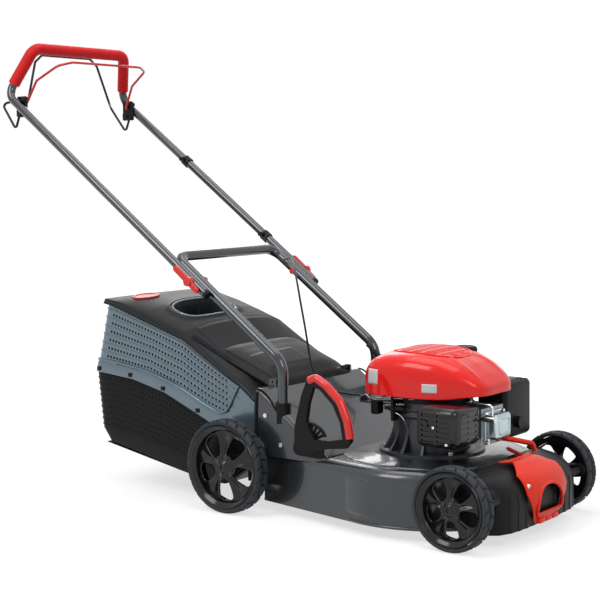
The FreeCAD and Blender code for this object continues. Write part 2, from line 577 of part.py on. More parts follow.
blower_wall = cut("blower_wall", rod("blower_drum", ENGINE, "0", "crankcase_top", "flywheel_radius+9",
                                     "recoil_height-crankcase_top-3"),
                  rod("blower_bore", ENGINE, "0", "crankcase_top-1", "flywheel_radius+5",
                      "recoil_height-crankcase_top-5"))
blower_hub = rod("blower_pin", ENGINE, "0", "recoil_height-6", "6", "recoil_width+14")
blower = group("blower_parts", blower_wall, blower_hub,
               block("blower_foot_rear", ENGINE + "-cowl_rear_behind+cowl_wall+slack", "0-6",
                     "cowl_bottom-8",
                     "cowl_rear_behind-flywheel_radius", "12", "14"),
               block("blower_foot_near", ENGINE, "0-cowl_half+cowl_wall+slack", "cowl_bottom-4", "12",
                     "cowl_half-flywheel_radius", "10"),
               block("blower_foot_front", ENGINE + "-34", "62", "crankcase_top", "16", "10", "6"))
node(blower, "blower_housing")

# ---------------------------------------------------------------- turning parts
shaft = rod("shaft_bar", ENGINE, "0", "crankshaft_bottom", "crankshaft_radius",
            "flywheel_height+flywheel_width-crankshaft_bottom-slack")
bolt_bore = rod("shaft_tap", ENGINE, "0", "crankshaft_bottom-1", "blade_bolt_hole/2", "26")
node(cut("shaft_whole", shaft, bolt_bore), "crankshaft")
fan_blades = [(math.cos(math.radians(a)), math.sin(math.radians(a))) for a in range(0, 360, 36)]
flywheel = group("flywheel_parts",
                 rod("flywheel_rim", ENGINE, "0", "flywheel_height-14", "flywheel_radius-8", "12"),
                 rod("flywheel_hub", ENGINE, "0", "flywheel_height-14", "crankshaft_radius+10", "12+8"),
                 *[rod("fan_blade_%d" % i, ENGINE + "+flywheel_radius*0.72*%.5f" % c,
                       "flywheel_radius*0.72*%.5f" % s, "flywheel_height-3", "7", "flywheel_width")
                   for i, (c, s) in enumerate(fan_blades)])
node(cut("flywheel_whole", flywheel, rod("flywheel_bore", ENGINE, "0", "flywheel_height-20",
                                         "crankshaft_radius", "60")), "flywheel")
recoil = shaftRing("recoil_ring", ENGINE, "recoil_radius", "6+running_fit", "recoil_height", "recoil_width")
recoil_groove = shaftRing("recoil_groove", ENGINE, "recoil_radius+4", "recoil_radius-5",
                          "recoil_height+3", "4")
node(cut("recoil_whole", recoil, recoil_groove), "recoil_pulley")

adapter = spun("adapter_spin", [
    ("blade_bolt_hole/2", "blade_height+blade_thickness"), ("30", "blade_height+blade_thickness"),
    ("30", "blade_height+blade_thickness+4"), ("20", "blade_height+blade_thickness+6"),
    ("20", "pulley_height"), ("pulley_radius", "pulley_height"),
    ("pulley_radius-groove_depth", "pulley_height+pulley_width/2-2"),
    ("pulley_radius-groove_depth", "pulley_height+pulley_width/2+2"),
    ("pulley_radius", "pulley_height+pulley_width"), ("crankshaft_radius", "pulley_height+pulley_width"),
    ("crankshaft_radius", "crankshaft_bottom"), ("blade_bolt_hole/2", "crankshaft_bottom")])
bind(adapter, Placement__Base__x=ENGINE)
bolt = group("blade_bolt_whole",
             rod("blade_bolt_shank", ENGINE, "0", "blade_height-3", "blade_bolt_hole/2", "30"),
             rod("blade_bolt_head", ENGINE, "0", "blade_height-12", "9", "9"),
             rod("blade_washer", ENGINE, "0", "blade_height-3", "17", "3"))
node(bundle("blade_mounting", adapter, bolt), "blade_adapter")
blade = prism("blade_flat", "XY_Plane", [
    ("0-blade_half_length", "0-blade_width/2"), ("blade_half_length-8", "0-blade_width/2"),
    ("blade_half_length", "0-blade_width/2+12"), ("blade_half_length", "blade_width/2"),
    ("0-blade_half_length+8", "blade_width/2"), ("0-blade_half_length", "blade_width/2-12")],
    "blade_thickness", "blade_height")
bind(blade, Placement__Base__x=ENGINE)
wings = [block("wing_%d" % i, x, y, "blade_height", "64", "3", "14")
         for i, (x, y) in enumerate(((ENGINE + "-blade_half_length+8", "blade_width/2-3"),
                                     (ENGINE + "+blade_half_length-72", "0-blade_width/2")))]
blade_holes = [rod("blade_centre_hole", ENGINE, "0", "blade_height-2", "blade_bolt_hole/2", "40")] + [
    rod("blade_pin_hole_%d" % i, ENGINE + x, "0", "blade_height-2", "pilot_hole/2", "10")
    for i, x in enumerate(("+24", "-24"))]
node(cut("blade_whole", group("blade_parts", blade, *wings), *blade_holes), "blade")

# ---------------------------------------------------------------- drive train
def beltLoop(name, first, second, inner, outer, low, height):
    """Belt band round two pulleys: each a (centre, radius) pair."""
    def face(grow):
        (c1, r1), (c2, r2) = first, second
        r1, r2 = r1 + grow, r2 + grow
        along = c2 - c1
        base = math.atan2(along.y, along.x)
        lean = math.acos((r1 - r2) / along.Length)
        spot = lambda c, r, angle: c + Vector(r * math.cos(angle), r * math.sin(angle), 0)
        a1, a2 = base + lean, base - lean
        edges = [Part.LineSegment(spot(c1, r1, a1), spot(c2, r2, a1)).toShape(),
                 Part.Arc(spot(c2, r2, a1), spot(c2, r2, base), spot(c2, r2, a2)).toShape(),
                 Part.LineSegment(spot(c2, r2, a2), spot(c1, r1, a2)).toShape(),
                 Part.Arc(spot(c1, r1, a2), spot(c1, r1, base + math.pi), spot(c1, r1, a1)).toShape()]
        return Part.Face(Part.Wire(Part.__sortEdges__(edges)))
    band = face(outer).cut(face(inner)).extrude(Vector(0, 0, height))
    band.translate(Vector(0, 0, low))
    return solid(name, band)


GEAR_PULLEY_X = "rear_wheel_x + gear_pulley_ahead"
belt_inner = val("slack")
node(beltLoop("belt_band",
              (Vector(val(ENGINE), 0, 0), val("pulley_radius-groove_depth")),
              (Vector(val(GEAR_PULLEY_X), val("gearbox_y"), 0), val("gear_pulley_radius-groove_depth")),
              belt_inner, belt_inner + 5.5, val("pulley_height+pulley_width/2-1.9"), 3.8), "drive_belt")
gear_pulley = spun("gear_pulley_spin", [
    ("gear_shaft_radius", "pulley_height"), ("gear_pulley_radius", "pulley_height"),
    ("gear_pulley_radius-groove_depth", "pulley_height+pulley_width/2-2"),
    ("gear_pulley_radius-groove_depth", "pulley_height+pulley_width/2+2"),
    ("gear_pulley_radius", "pulley_height+pulley_width"), ("gear_shaft_radius",
                                                           "pulley_height+pulley_width")])
bind(gear_pulley, Placement__Base__x=GEAR_PULLEY_X, Placement__Base__y="gearbox_y")
input_shaft = rod("input_shaft", GEAR_PULLEY_X, "gearbox_y", "pulley_height", "gear_shaft_radius",
                  "pulley_width+14")
node(bundle("gear_input", gear_pulley, input_shaft), "gear_pulley")
gearbox = group("gearbox_blank",
                rod("gearbox_drum", GEARBOX_X, "gearbox_y-gearbox_half_width", "rear_pivot_z", "19",
                    "gearbox_half_width*2", "y"),
                block("gearbox_nose", GEARBOX_X, "gearbox_y-16", "pulley_height+pulley_width+4",
                      "gear_pulley_ahead-rear_pivot_ahead+14", "32", "30"))
node(cut("gearbox_case", gearbox,
         rod("gearbox_bore", GEARBOX_X, "gearbox_y-60", "rear_pivot_z", "drive_shaft_radius+running_fit",
             "120", "y"),
         rod("gearbox_socket", GEAR_PULLEY_X, "gearbox_y", "pulley_height", "gear_shaft_radius+running_fit",
             "pulley_width+14+slack")), "gearbox")
pinion_y = "rear_track_half-rear_tyre_width+4"
drive_bar = rod("drive_bar", GEARBOX_X, flipped(pinion_y + "+pinion_width"), "rear_pivot_z",
                "drive_shaft_radius", "rear_track_half*2-rear_tyre_width*2+8+pinion_width*2", "y")
pinions = [rod("pinion_" + side, GEARBOX_X, y, "rear_pivot_z", "pinion_radius", "pinion_width", "y")
           for side, y in (("near", flipped(pinion_y + "+pinion_width")), ("far", pinion_y))]
node(group("drive_shaft_whole", drive_bar, *pinions), "drive_shaft")

# ---------------------------------------------------------------- wheels
def wheel(name, x, z, side, tyre_radius, rim_radius, width, track, geared):
    """Rim and tyre, turned about local Z with the outer face at zero, then laid on their side."""
    web = "14"
    lip = rim_radius + "-rim_lip"
    profile = [("stub_radius+running_fit", "6"), ("hub_radius", "6"), ("hub_radius", web), (lip, web),
               (lip, "3"), (rim_radius, "0"), (rim_radius, width), (lip, width),
               (lip, web + "+web_thickness")]
    if geared:
        profile += [("ring_gear_radius+ring_gear_wall", web + "+web_thickness"),
                    ("ring_gear_radius+ring_gear_wall", width + "-2"), ("ring_gear_radius", width + "-2"),
                    ("ring_gear_radius", web + "+web_thickness")]
    profile += [("hub_radius", web + "+web_thickness"), ("hub_radius", width + "-3"),
                ("stub_radius+running_fit", width + "-3")]
    body = spun(name + "_rim_body", profile)
    before = body.Shape.Volume
    window = newSketch(body, name + "_window", "XY_Plane", "0")
    outline(window, [("hub_radius+8", "0-5"), (lip + "-5", "0-spoke_width"), (lip + "-5", "spoke_width"),
                     ("hub_radius+8", "5")])
    pocket = body.newObject("PartDesign::Pocket", name + "_window_cut")
    pocket.Profile = window
    pocket.Reversed = True
    bind(pocket, Length=web + "+web_thickness+0.5")
    doc.recompute()
    if body.Shape.Volume > before - 100:
        raise ValueError("a wheel window points away from its web")
    ring = body.newObject("PartDesign::PolarPattern", name + "_windows")
    ring.Originals = [pocket]
    ring.Axis = (window, ["N_Axis"])
    ring.Angle = 360
    bind(ring, Occurrences="spoke_count")
    body.Tip = ring
    tread = spun(name + "_tyre_body", [(rim_radius, "0.5"), (tyre_radius + "-4", "0.5"), (tyre_radius, "5"),
                                       (tyre_radius, width + "-5"), (tyre_radius + "-4", width + "-0.5"),
                                       (rim_radius, width + "-0.5")])
    for item in (body, tread):
        item.Placement = Placement(Vector(), Rotation(Vector(1, 0, 0), -90 * side * -1))
        bind(item, Placement__Base__x=x, Placement__Base__z=z,
             Placement__Base__y=track if side > 0 else flipped(track))
    node(body, name + "_rim")
    node(tread, name + "_tyre")


for place, side in (("near", -1), ("far", 1)):
    wheel("rear_" + place, "rear_wheel_x", "rear_tyre_radius", side, "rear_tyre_radius", "rear_rim_radius",
          "rear_tyre_width", "rear_track_half", True)
    wheel("front_" + place, FRONT_WHEEL, "front_tyre_radius", side, "front_tyre_radius", "front_rim_radius",
          "front_tyre_width", "front_track_half", False)

# ---------------------------------------------------------------- height adjustment
def armShape(start, end, y, thickness, half):
    """Flat link with round ends between two points of the side view."""
    first, last = Vector(*start), Vector(*end)
    along = (last - first).normalize() * half
    across = Vector(-along.z, 0, along.x)
    edges = [Part.LineSegment(first + across, last + across).toShape(),
             Part.Arc(last + across, last + along, last - across).toShape(),
             Part.LineSegment(last - across, first - across).toShape(),
             Part.Arc(first - across, first - along, first + across).toShape()]
    link = Part.Face(Part.Wire(edges)).extrude(Vector(0, thickness, 0))
    link.translate(Vector(0, y, 0))
    return link


def bar(x, y, z, radius, length):
    return Part.makeCylinder(radius, length, Vector(x, y, z), Vector(0, 1, 0))


rear_pivot = (val(GEARBOX_X), 0, val("rear_pivot_z"))
rear_stub = (val("rear_wheel_x"), 0, val("rear_tyre_radius"))
front_pivot = (val(FRONT_PIVOT), 0, val("front_pivot_z"))
front_stub = (val(FRONT_WHEEL), 0, val("front_tyre_radius"))
arm = val("swing_arm_thickness")
arm_half = val("swing_arm_half_width")
rod_y = val("rod_plane_y")
link_thick = val("rod_thickness")
pin_radius = val("rod_pin_radius")
crank = val("rod_pin_rise")
front_crank = val("front_pin_drop")


def swingFrame(pivot, stub, inner_face, track, through):
    """Two arms and the axle bar between them; the hole runs on its bush or bar."""
    parts = [bar(stub[0], -track + 4, stub[2], val("stub_radius"), 2 * track - 8)] if through else []
    for side in (-1, 1):
        y = inner_face - arm if side > 0 else -inner_face
        parts.append(armShape(pivot, stub, y, arm, arm_half))
        if not through:
            start = inner_face - arm if side > 0 else -track + 4
            parts.append(bar(stub[0], start, stub[2], val("stub_radius"), track - 4 - inner_face + arm))
    return parts


rear_face = val("rear_track_half-rear_tyre_width-4")
front_face = val("front_track_half-front_tyre_width-4")
rear_pin = Vector(rear_pivot[0], 0, rear_pivot[2] - crank)
front_pin = Vector(front_pivot[0], 0, front_pivot[2] - front_crank)
lug_y = rod_y + link_thick + val("slack")
rear_swing = swingFrame(rear_pivot, rear_stub, rear_face, val("rear_track_half"), True)
rear_swing.append(armShape((rear_pin.x, 0, rear_pin.z), rear_stub, lug_y, link_thick, 7.0))
rear_swing.append(bar(rear_pin.x, rod_y - 1, rear_pin.z, pin_radius, link_thick + 3))
rear_frame = rear_swing[0].multiFuse(rear_swing[1:]).removeSplitter()
rear_frame = rear_frame.cut(bar(rear_pivot[0], -300, rear_pivot[2],
                                val("swing_tube_radius") + val("running_fit"), 600))
node(solid("rear_swing", rear_frame), "rear_axle")
front_swing = swingFrame(front_pivot, front_stub, front_face, val("front_track_half"), False)
front_swing.append(bar(front_pivot[0], -front_face, front_pivot[2], val("swing_tube_radius"),
                       2 * front_face))
front_swing.append(armShape(front_pivot, (front_pin.x, 0, front_pin.z), lug_y, link_thick, 7.0))
front_swing.append(bar(front_pin.x, rod_y - 1, front_pin.z, pin_radius, link_thick + 3))
node(solid("front_swing", front_swing[0].multiFuse(front_swing[1:]).removeSplitter()), "front_axle")

# The rod ties both swings to the lever.  Its front eye has the play that lets it stay nearly level.
lever_pivot = Vector(val(LEVER_X), 0, val("lever_pivot_z"))
lever_pin = lever_pivot - Vector(0, 0, crank)
eye = 7.0
rod_blank = armShape((rear_pin.x, 0, rear_pin.z), (front_pin.x, 0, front_pin.z), rod_y, link_thick, eye)
share = (lever_pin.x - rear_pin.x) / (front_pin.x - rear_pin.x)
foot = rear_pin + (front_pin - rear_pin) * share
tab = armShape((foot.x, 0, foot.z), (lever_pin.x, 0, lever_pin.z), rod_y, link_thick, eye)
rod_shape = rod_blank.fuse(tab).removeSplitter()
for spot, play in ((rear_pin, val("running_fit")), (lever_pin, val("slack")), (front_pin,
                                                                               val("rod_pin_play"))):
    rod_shape = rod_shape.cut(bar(spot.x, rod_y - 5, spot.z, pin_radius + play, 20))
node(solid("rod_whole", rod_shape), "height_rod")

lever_side = val("lever_y")
lever_thick = val("lever_thickness")


def leverFace(spots):
    """Closed side-view outline of straight runs, from points relative to the lever's pivot."""
    corners = [lever_pivot + Vector(dx, lever_side - lever_thick / 2, dz) for dx, dz in spots]
    return Part.Face(Part.makePolygon(corners + corners[:1]))


frame_outer = leverFace([(-14, -8), (-12, 40), (8, 112), (24, 148), (44, 156), (66, 146), (112, 108),
                         (132, 66),
                         (142, 20), (128, 4), (80, -2), (40, -14), (10, -20)])
frame_inner = leverFace([(20, 52), (28, 96), (42, 134), (60, 128), (94, 98), (114, 60), (120, 24), (84, 16),
                         (44, 14)])
frame_shape = frame_outer.cut(frame_inner).extrude(Vector(0, lever_thick, 0))
grip_spots = [(28, 146), (46, 153), (74, 138), (112, 105), (130, 64), (137, 26)]
grip_points = [lever_pivot + Vector(dx, lever_side, dz) for dx, dz in grip_spots]
grip_path = bentPath(grip_points, [14, 30, 50, 60])
grip_shape = sweep(grip_path, 9.5)
frame_shape = frame_shape.cut(grip_shape)
shaft_start = lever_side - lever_thick / 2
lever_shaft = bar(lever_pivot.x, shaft_start, lever_pivot.z, val("lever_bolt_radius"),
                  lug_y + link_thick - shaft_start)
lever_crank = armShape((lever_pivot.x, 0, lever_pivot.z), (lever_pin.x, 0, lever_pin.z), lug_y,
                       link_thick, eye)
lever_stud = bar(lever_pin.x, rod_y - 1, lever_pin.z, pin_radius, link_thick + 3)
node(solid("lever_whole", frame_shape.multiFuse([lever_shaft, lever_crank, lever_stud]).removeSplitter()),
     "lever_frame")
node(solid("lever_grip_whole", grip_shape), "lever_grip")
quadrant = armShape((lever_pivot.x - 10, 0, lever_pivot.z - 12), (lever_pivot.x + 44, 0,
                                                                  lever_pivot.z - 14),
                    -val("housing_half") - 3, 3, 16.0)
node(cut("quadrant_plate", solid("quadrant_blank", quadrant), deck_outer, lever_hole), "lever_quadrant")

# ---------------------------------------------------------------- handle
slope = math.radians(val("handle_slope"))
fold = Vector(val("rear_wheel_x") - val("fold_behind"), 0, val("fold_height"))
up_slope = Vector(-math.cos(slope), 0, math.sin(slope))
leg_x = val(SOCKET_X)
leg_y = val("lower_leg_y")
upper_y = leg_y + val("handle_tube") + val("upper_tube") + val("fold_gap")
bend = fold - up_slope * ((leg_x - fold.x) / math.cos(slope))
cross = fold + up_slope * ((val("cross_behind") - val("fold_behind")) / math.cos(slope))


def sided(point, y):
    return Vector(point.x, y, point.z)


lower_route = [Vector(leg_x, -leg_y, val("leg_end")), sided(bend, -leg_y), sided(cross, -leg_y),
               sided(cross, leg_y), sided(bend, leg_y), Vector(leg_x, leg_y, val("leg_end"))]
lower_tube = tubing(bentPath(lower_route, [55, 34, 34, 55]), val("handle_tube"), val("tube_wall"))
bolt_holes = bar(fold.x, -leg_y - 30, fold.z, val("fold_bolt_radius") + val("running_fit"), 2 * leg_y + 60)
node(solid("lower_handle_tube", lower_tube.cut(bolt_holes)), "lower_handle")
sockets = []
for side, y in (("near", flipped("lower_leg_y")), ("far", "lower_leg_y")):
    outer = rod("socket_" + side, SOCKET_X, y, "socket_top-socket_depth", "socket_radius", "socket_depth")
    bore = rod("socket_bore_" + side, SOCKET_X, y, "leg_end", "handle_tube", "80")
    sockets.append(cut("socket_whole_" + side, outer, bore))
node(bundle("socket_pair", *sockets), "handle_sockets")

tail = fold - up_slope * val("upper_tail")
knee = fold + up_slope * val("upper_reach")
crown = knee + Vector(54, 0, val("grip_rise"))
crown_y = upper_y - 46
upper_route = [sided(tail, -upper_y), sided(knee, -upper_y), sided(crown, -crown_y), sided(crown, crown_y),
               sided(knee, upper_y), sided(tail, upper_y)]
upper_path = bentPath(upper_route, [34, 30, 30, 34])
upper_tube = tubing(upper_path, val("upper_tube"), val("tube_wall"))
through = bar(fold.x, -upper_y - 30, fold.z, val("fold_bolt_radius") + val("running_fit"), 2 * upper_y + 60)
node(solid("upper_handle_tube", upper_tube.cut(through)), "upper_handle")
sleeve_route = [sided(knee, -upper_y) + (sided(crown, -crown_y) - sided(knee, -upper_y)) * 0.22,
                sided(crown, -crown_y), sided(crown, crown_y),
                sided(knee, upper_y) + (sided(crown, crown_y) - sided(knee, upper_y)) * 0.22]
sleeve_path = bentPath(sleeve_route, [30, 30])
sleeve = sweep(sleeve_path, val("grip_radius")).cut(sweep(sleeve_path,
                                                          val("upper_tube") + val("running_fit")))
node(solid("grip_sleeve", sleeve), "handle_grip")

fittings = []
black_pivot = Vector(val("rear_wheel_x") - 714, 0, 952)
red_pivot = Vector(val("rear_wheel_x") - 712, 0, 972)
wire = val("bail_radius")
for side in (-1, 1):
    low_width, high_width = 10.0, 13.0
    inner = upper_y - 22
    ear = Part.makeBox(44, low_width, 24, Vector(black_pivot.x - 22,
                                                 inner if side > 0 else -inner - low_width,
                                                black_pivot.z - 14))
    ear = ear.fuse(Part.makeBox(44, high_width, 38, Vector(black_pivot.x - 22,
                                                          inner if side > 0 else -inner - high_width,
                                                          black_pivot.z + 8))).removeSplitter()
    for pivot in (black_pivot, red_pivot):
        ear = ear.cut(bar(pivot.x, -upper_y, pivot.z, wire + val("running_fit"), 2 * upper_y))
    ear = ear.cut(sweep(upper_path, val("upper_tube") + val("running_fit")))
    plug = Part.makeCylinder(val("upper_tube"), 6, sided(tail, side * upper_y) + up_slope * -6, up_slope)
    fittings += [ear, plug]
CLIP_PLACES = (130, 470)
for distance in CLIP_PLACES:
    foot = sided(fold + up_slope * distance, upper_y)
    clip = Part.makeCylinder(val("upper_tube") + 3, 30, foot, up_slope)
    clip = clip.fuse(Part.makeBox(18, 16, 12, foot + Vector(-26, -24, 10)))
    fittings.append(clip.cut(Part.makeCylinder(val("upper_tube") + val("running_fit"), 200,
                                               foot - up_slope * 80, up_slope)))
node(solid("fittings", Part.makeCompound(fittings)), "handle_fittings")

def bail(name, label, spots, bends):
    """Bent wire: the listed half, mirrored across the middle."""
    near = [Vector(x + val("rear_wheel_x"), -y, z) for x, y, z in spots]
    far = [Vector(point.x, -point.y, point.z) for point in reversed(near)]
    node(solid(name, sweep(bentPath(near + far, bends + bends[::-1]), wire)), label)


pin_start, pin_end = upper_y - 27, upper_y - 5
bail("stop_wire", "stop_bail",
     [(-714, pin_start, 952), (-714, pin_end - 3, 952), (-733, pin_end - 3, 909), (-787, pin_end - 6, 978),
      (-742, 148, 990), (-751, 113, 1089), (-752, 88, 1108)], [3.6, 7, 12, 12, 12, 14])
bail("drive_wire", "drive_bail",
     [(-712, pin_end - 9, 972), (-712, pin_start, 972), (-678, 176, 1033), (-613, 160, 1069), (-597, 124,
                                                                                               1078)],
     [7, 12, 24, 26])

# Quick-release levers clamp the two tubes together on one bolt each side.
for side, name in ((-1, "near"), (1, "far")):
    start = upper_y + val("upper_tube") + val("slack")
    head_y = start if side > 0 else -start - 13
    hub = bar(fold.x, head_y, fold.z, 11.0, 13)
    wing = armShape((fold.x, 0, fold.z), tuple(fold + up_slope * 40 + Vector(-6, 0, 6)), head_y + 3, 7, 7.0)
    heel = armShape((fold.x, 0, fold.z), tuple(fold - up_slope * 24 + Vector(4, 0, -6)), head_y + 3, 7, 6.0)
    spindle_from = leg_y - val("handle_tube") - 6
    spindle_y = spindle_from if side > 0 else -start - 1
    spindle = bar(fold.x, spindle_y, fold.z, val("fold_bolt_radius"), start + 1 - spindle_from)
    nut_y = spindle_from if side > 0 else -spindle_from - 5
    nut = bar(fold.x, nut_y, fold.z, 8.0, 5.7)
    shape = hub.multiFuse([wing, heel, spindle, nut]).removeSplitter()
    node(solid("clamp_" + name, shape), "fold_clamp_" + name)

# ---------------------------------------------------------------- starter and cables
rear_x = val("rear_wheel_x")
rope = val("rope_radius")
grip_centre = Vector(rear_x + 132, leg_y - 26, 352)
guide_ring = Part.makeTorus(9.0, 2.6, grip_centre + up_slope * 16, up_slope)
guide_stem = bar(grip_centre.x + up_slope.x * 16, grip_centre.y + 10.5, grip_centre.z + up_slope.z * 16,
                 2.6, 5)
starter = Part.makeCylinder(6.5, 46, grip_centre - up_slope * 14, up_slope * -1)
starter = starter.fuse(Part.makeCylinder(4.4, 30, grip_centre + up_slope * 12, up_slope * -1))
node(solid("starter_bar", starter), "starter_grip")
rope_side = val("recoil_radius") - 5 + rope + val("slack")
rope_start = grip_centre - up_slope * 60.9
rope_spots = [rope_start, rope_start + Vector(24, -14, -12),
              Vector(val(ENGINE) - val("cowl_rear_behind") - 22, rope_side, val("recoil_height") + 5),
              Vector(val(ENGINE) - 2, rope_side, val("recoil_height") + 5)]
node(solid("starter_line", sweep(bentPath(rope_spots, [14, 30]), rope)), "starter_rope")

cable = val("cable_radius")
cable_spots = [Vector(rear_x + x, y, z) for x, y, z in (
    (-150, 170.8, 560), (-112, 150, 569), (-62, 102, 567), (-6, 38, 548), (42, -14, 516), (74, -44, 474),
    (95, -58, 428), (108, -63, 380), (118, -65, 334), (140, -66, 298), (178, -65, 279), (220, -60, 273),
    (260.5, -52, 273))]
node(solid("control_wire", sweep(bentPath(cable_spots, softRadii(cable_spots)), cable)), "control_cable")
line_side = upper_y - val("upper_tube") - cable - val("slack")
upper_line = [sided(fold + up_slope * distance, line_side) for distance in CLIP_PLACES]
run = Part.makeCylinder(cable, (upper_line[1] - upper_line[0]).Length, upper_line[0], up_slope)
for item in fittings:
    run = run.cut(item)
node(solid("upper_wire", run), "upper_cable")

# ---------------------------------------------------------------- grass box
def behind(alias):
    return "rear_wheel_x-" + alias


BOX_MOUTH = "rear_wheel_x + box_mouth_ahead"


def boxSolid(name, inset):
    """Side outline of the box; the hollow copy is smaller all round and open at the mouth."""
    grow = "+" + inset if inset else ""
    shrink = "-" + inset if inset else ""
    mouth = BOX_MOUTH + ("+%g" % PIERCE if inset else "")
    return sideProfile(name, [
        (behind("box_rear_behind") + grow, "box_rear_low" + grow),
        (behind("box_front_behind") + "-110" + grow, "box_floor+12" + grow),
        (behind("box_front_behind") + shrink, "box_floor" + grow),
        (behind("box_front_behind") + shrink, "mouth_bottom" + grow),
        (mouth, "mouth_bottom" + grow), (mouth, "mouth_top" + shrink),
        (behind("box_top_behind") + grow, "box_top_height" + shrink),
        (behind("box_rear_behind") + grow, "box_rear_mid" + shrink)], "box_half" + shrink)


def sideWise(edge):
    first, last = edge.Vertexes[0].Point, edge.Vertexes[-1].Point
    return abs(first.y - last.y) > 10 and first.x < val(behind("box_front_behind")) + 1


box_hollow = cut("box_hollow", rounded(boxSolid("box_outer", ""), "box_wall*4", sideWise),
                 rounded(boxSolid("box_inner", "box_wall"), "box_wall*3", sideWise))
LID_REAR, LID_FRONT = behind("box_rear_behind") + "-5", BOX_MOUTH + "+5"
above_lid = [(LID_REAR, "box_top_height-lid_depth*2"), (behind("box_top_behind"),
                                                        "box_top_height-lid_depth*2"),
             (LID_FRONT, "mouth_top-lid_depth*2"), (LID_FRONT, "box_top_height+80"),
             (LID_REAR, "box_top_height+80")]
below_seam = [(LID_REAR, "seam_rear"), (behind("box_rear_behind") + "+150", "seam_rear-14"),
              (behind("box_rear_behind") + "+290", "seam_rear-50"),
              (behind("box_rear_behind") + "+406", "seam_rear-108"),
              (behind("box_front_behind") + "+1", "seam_rear-108"), (behind("box_front_behind") + "+1",
                                                                     "0"),
              (LID_REAR, "0")]
lid_zone = sideProfile("lid_zone", above_lid, "box_half+20")
tub_zone = sideProfile("tub_zone", below_seam, "box_half+20")
lid_plate = overlap("lid_plate", box_hollow, lid_zone)
crown_shape = sideProfile("lid_crown_block", [
    (behind("box_top_behind") + "-2", "box_top_height"), (behind("box_top_behind") + "+30",
     "box_top_height+lid_crown-16"),
    (BOX_MOUTH + "-190", "mouth_top+lid_crown+70"), (BOX_MOUTH + "-178", "mouth_top+lid_crown+56"),
    (BOX_MOUTH + "-176", "mouth_top+66")], "lid_crown_half")
crown_inner = sideProfile("lid_crown_hollow", [
    (behind("box_top_behind") + "+8", "box_top_height-20"), (behind("box_top_behind") + "+32",
     "box_top_height+lid_crown-20"),
    (BOX_MOUTH + "-194", "mouth_top+lid_crown+66"), (BOX_MOUTH + "-182", "mouth_top+lid_crown+52"),
    (BOX_MOUTH + "-180", "mouth_top+50")], "lid_crown_half-box_wall")
grip_recess = block("grip_recess", behind("box_top_behind") + "+146", "0-60", "box_top_height-70", "54",
                    "120", "90")
indicator_seat = block("indicator_seat", behind("box_top_behind") + "+34", "0-130", "box_top_height-30",
                       "44", "74", "60")
lid_whole = cut("lid_whole", group("lid_parts", lid_plate, crown_shape), crown_inner, grip_recess,
                indicator_seat)
node(lid_whole, "box_lid")
node(overlap("tub_whole", box_hollow, tub_zone), "box_tub")
node(cut("shell_whole", box_hollow, lid_zone, tub_zone), "box_shell")

# The indicator is a light flap in the lid that the air stream lifts while the box fills.
FLAG_X = behind("box_top_behind") + "+34"
flag_plate = block("flag_plate", FLAG_X + "+slack+2", "0-128", "box_top_height+lid_crown-18", "38", "70",
                   "3")
flag_pin = rod("flag_pin", FLAG_X + "+6", "0-130", "box_top_height+lid_crown-16.5", "2.4", "74", "y")
node(group("flag_whole", flag_plate, flag_pin), "fill_indicator")

# ---------------------------------------------------------------- rear flap
HINGE_X = "rear_wheel_x + flap_hinge_ahead"
hinge = Vector(val(HINGE_X), 0, val("flap_hinge_z"))
flap_angle = math.radians(val("flap_slope"))
flap_half = val("flap_half")
eye_radius = val("flap_rod_radius") + 3


def inFlap(along, up):
    """Point of the flap's side view: a distance from the hinge and a height off its face."""
    away = Vector(-math.cos(flap_angle), 0, math.sin(flap_angle))
    return hinge + away * along + Vector(math.sin(flap_angle), 0, math.cos(flap_angle)) * up


def flapPiece(spots, low, high):
    corners = [inFlap(*spot) + Vector(0, low, 0) for spot in spots]
    return Part.Face(Part.makePolygon(corners + corners[:1])).extrude(Vector(0, high - low, 0))


flap_length = val("flap_length")
flap_thick = val("flap_thickness")
panel = flapPiece([(0, 1), (flap_length, 1), (flap_length, 1 + flap_thick), (0, 1 + flap_thick)],
                  -flap_half, flap_half)
rib_spots = [(12, flap_thick), (flap_length - 12, flap_thick), (flap_length - 20, flap_thick + 5),
             (20, flap_thick + 5)]
ribs = [flapPiece(rib_spots, y, y + 4) for y in (-flap_half + 8, -4, flap_half - 12)]
skirt_spots = [(16, 1), (flap_length, 1), (flap_length, -6), (34, -14)]
ribs += [flapPiece(skirt_spots, y, y + 3) for y in (-flap_half, flap_half - 3)]
knuckles = [bar(hinge.x, y, hinge.z, eye_radius, 30) for y in (-flap_half, flap_half - 30)]
flap_shape = panel.multiFuse(ribs + knuckles).removeSplitter()
flap_shape = flap_shape.cut(bar(hinge.x, -300, hinge.z, val("flap_rod_radius") + val("running_fit"), 600))
node(solid("flap_whole", flap_shape), "rear_flap")
lug_blanks = [block("hinge_lug_%d" % i, HINGE_X + "-8", y, "housing_height-12", "16", "6",
                    "flap_hinge_z-housing_height+18")
       for i, y in enumerate(("0-flap_half-6.3", "flap_half+0.3"))]
lug_hole = rod("hinge_lug_hole", HINGE_X, "0-300", "flap_hinge_z", "flap_rod_radius", "600", "y")
lugs = cut("hinge_lugs", group("hinge_lug_pair", *lug_blanks), lug_hole)
hinge_bar = rod("hinge_bar", HINGE_X, "0-flap_half-9", "flap_hinge_z", "flap_rod_radius",
                "flap_half*2+18", "y")
lug_clear = cut("hinge_lugs_clear", lugs, housing_sheet)
node(bundle("housing_parts", housing_sheet, lug_clear, hinge_bar), "rear_housing")

# ---------------------------------------------------------------- front end
APRON_X = "rear_wheel_x + apron_start"


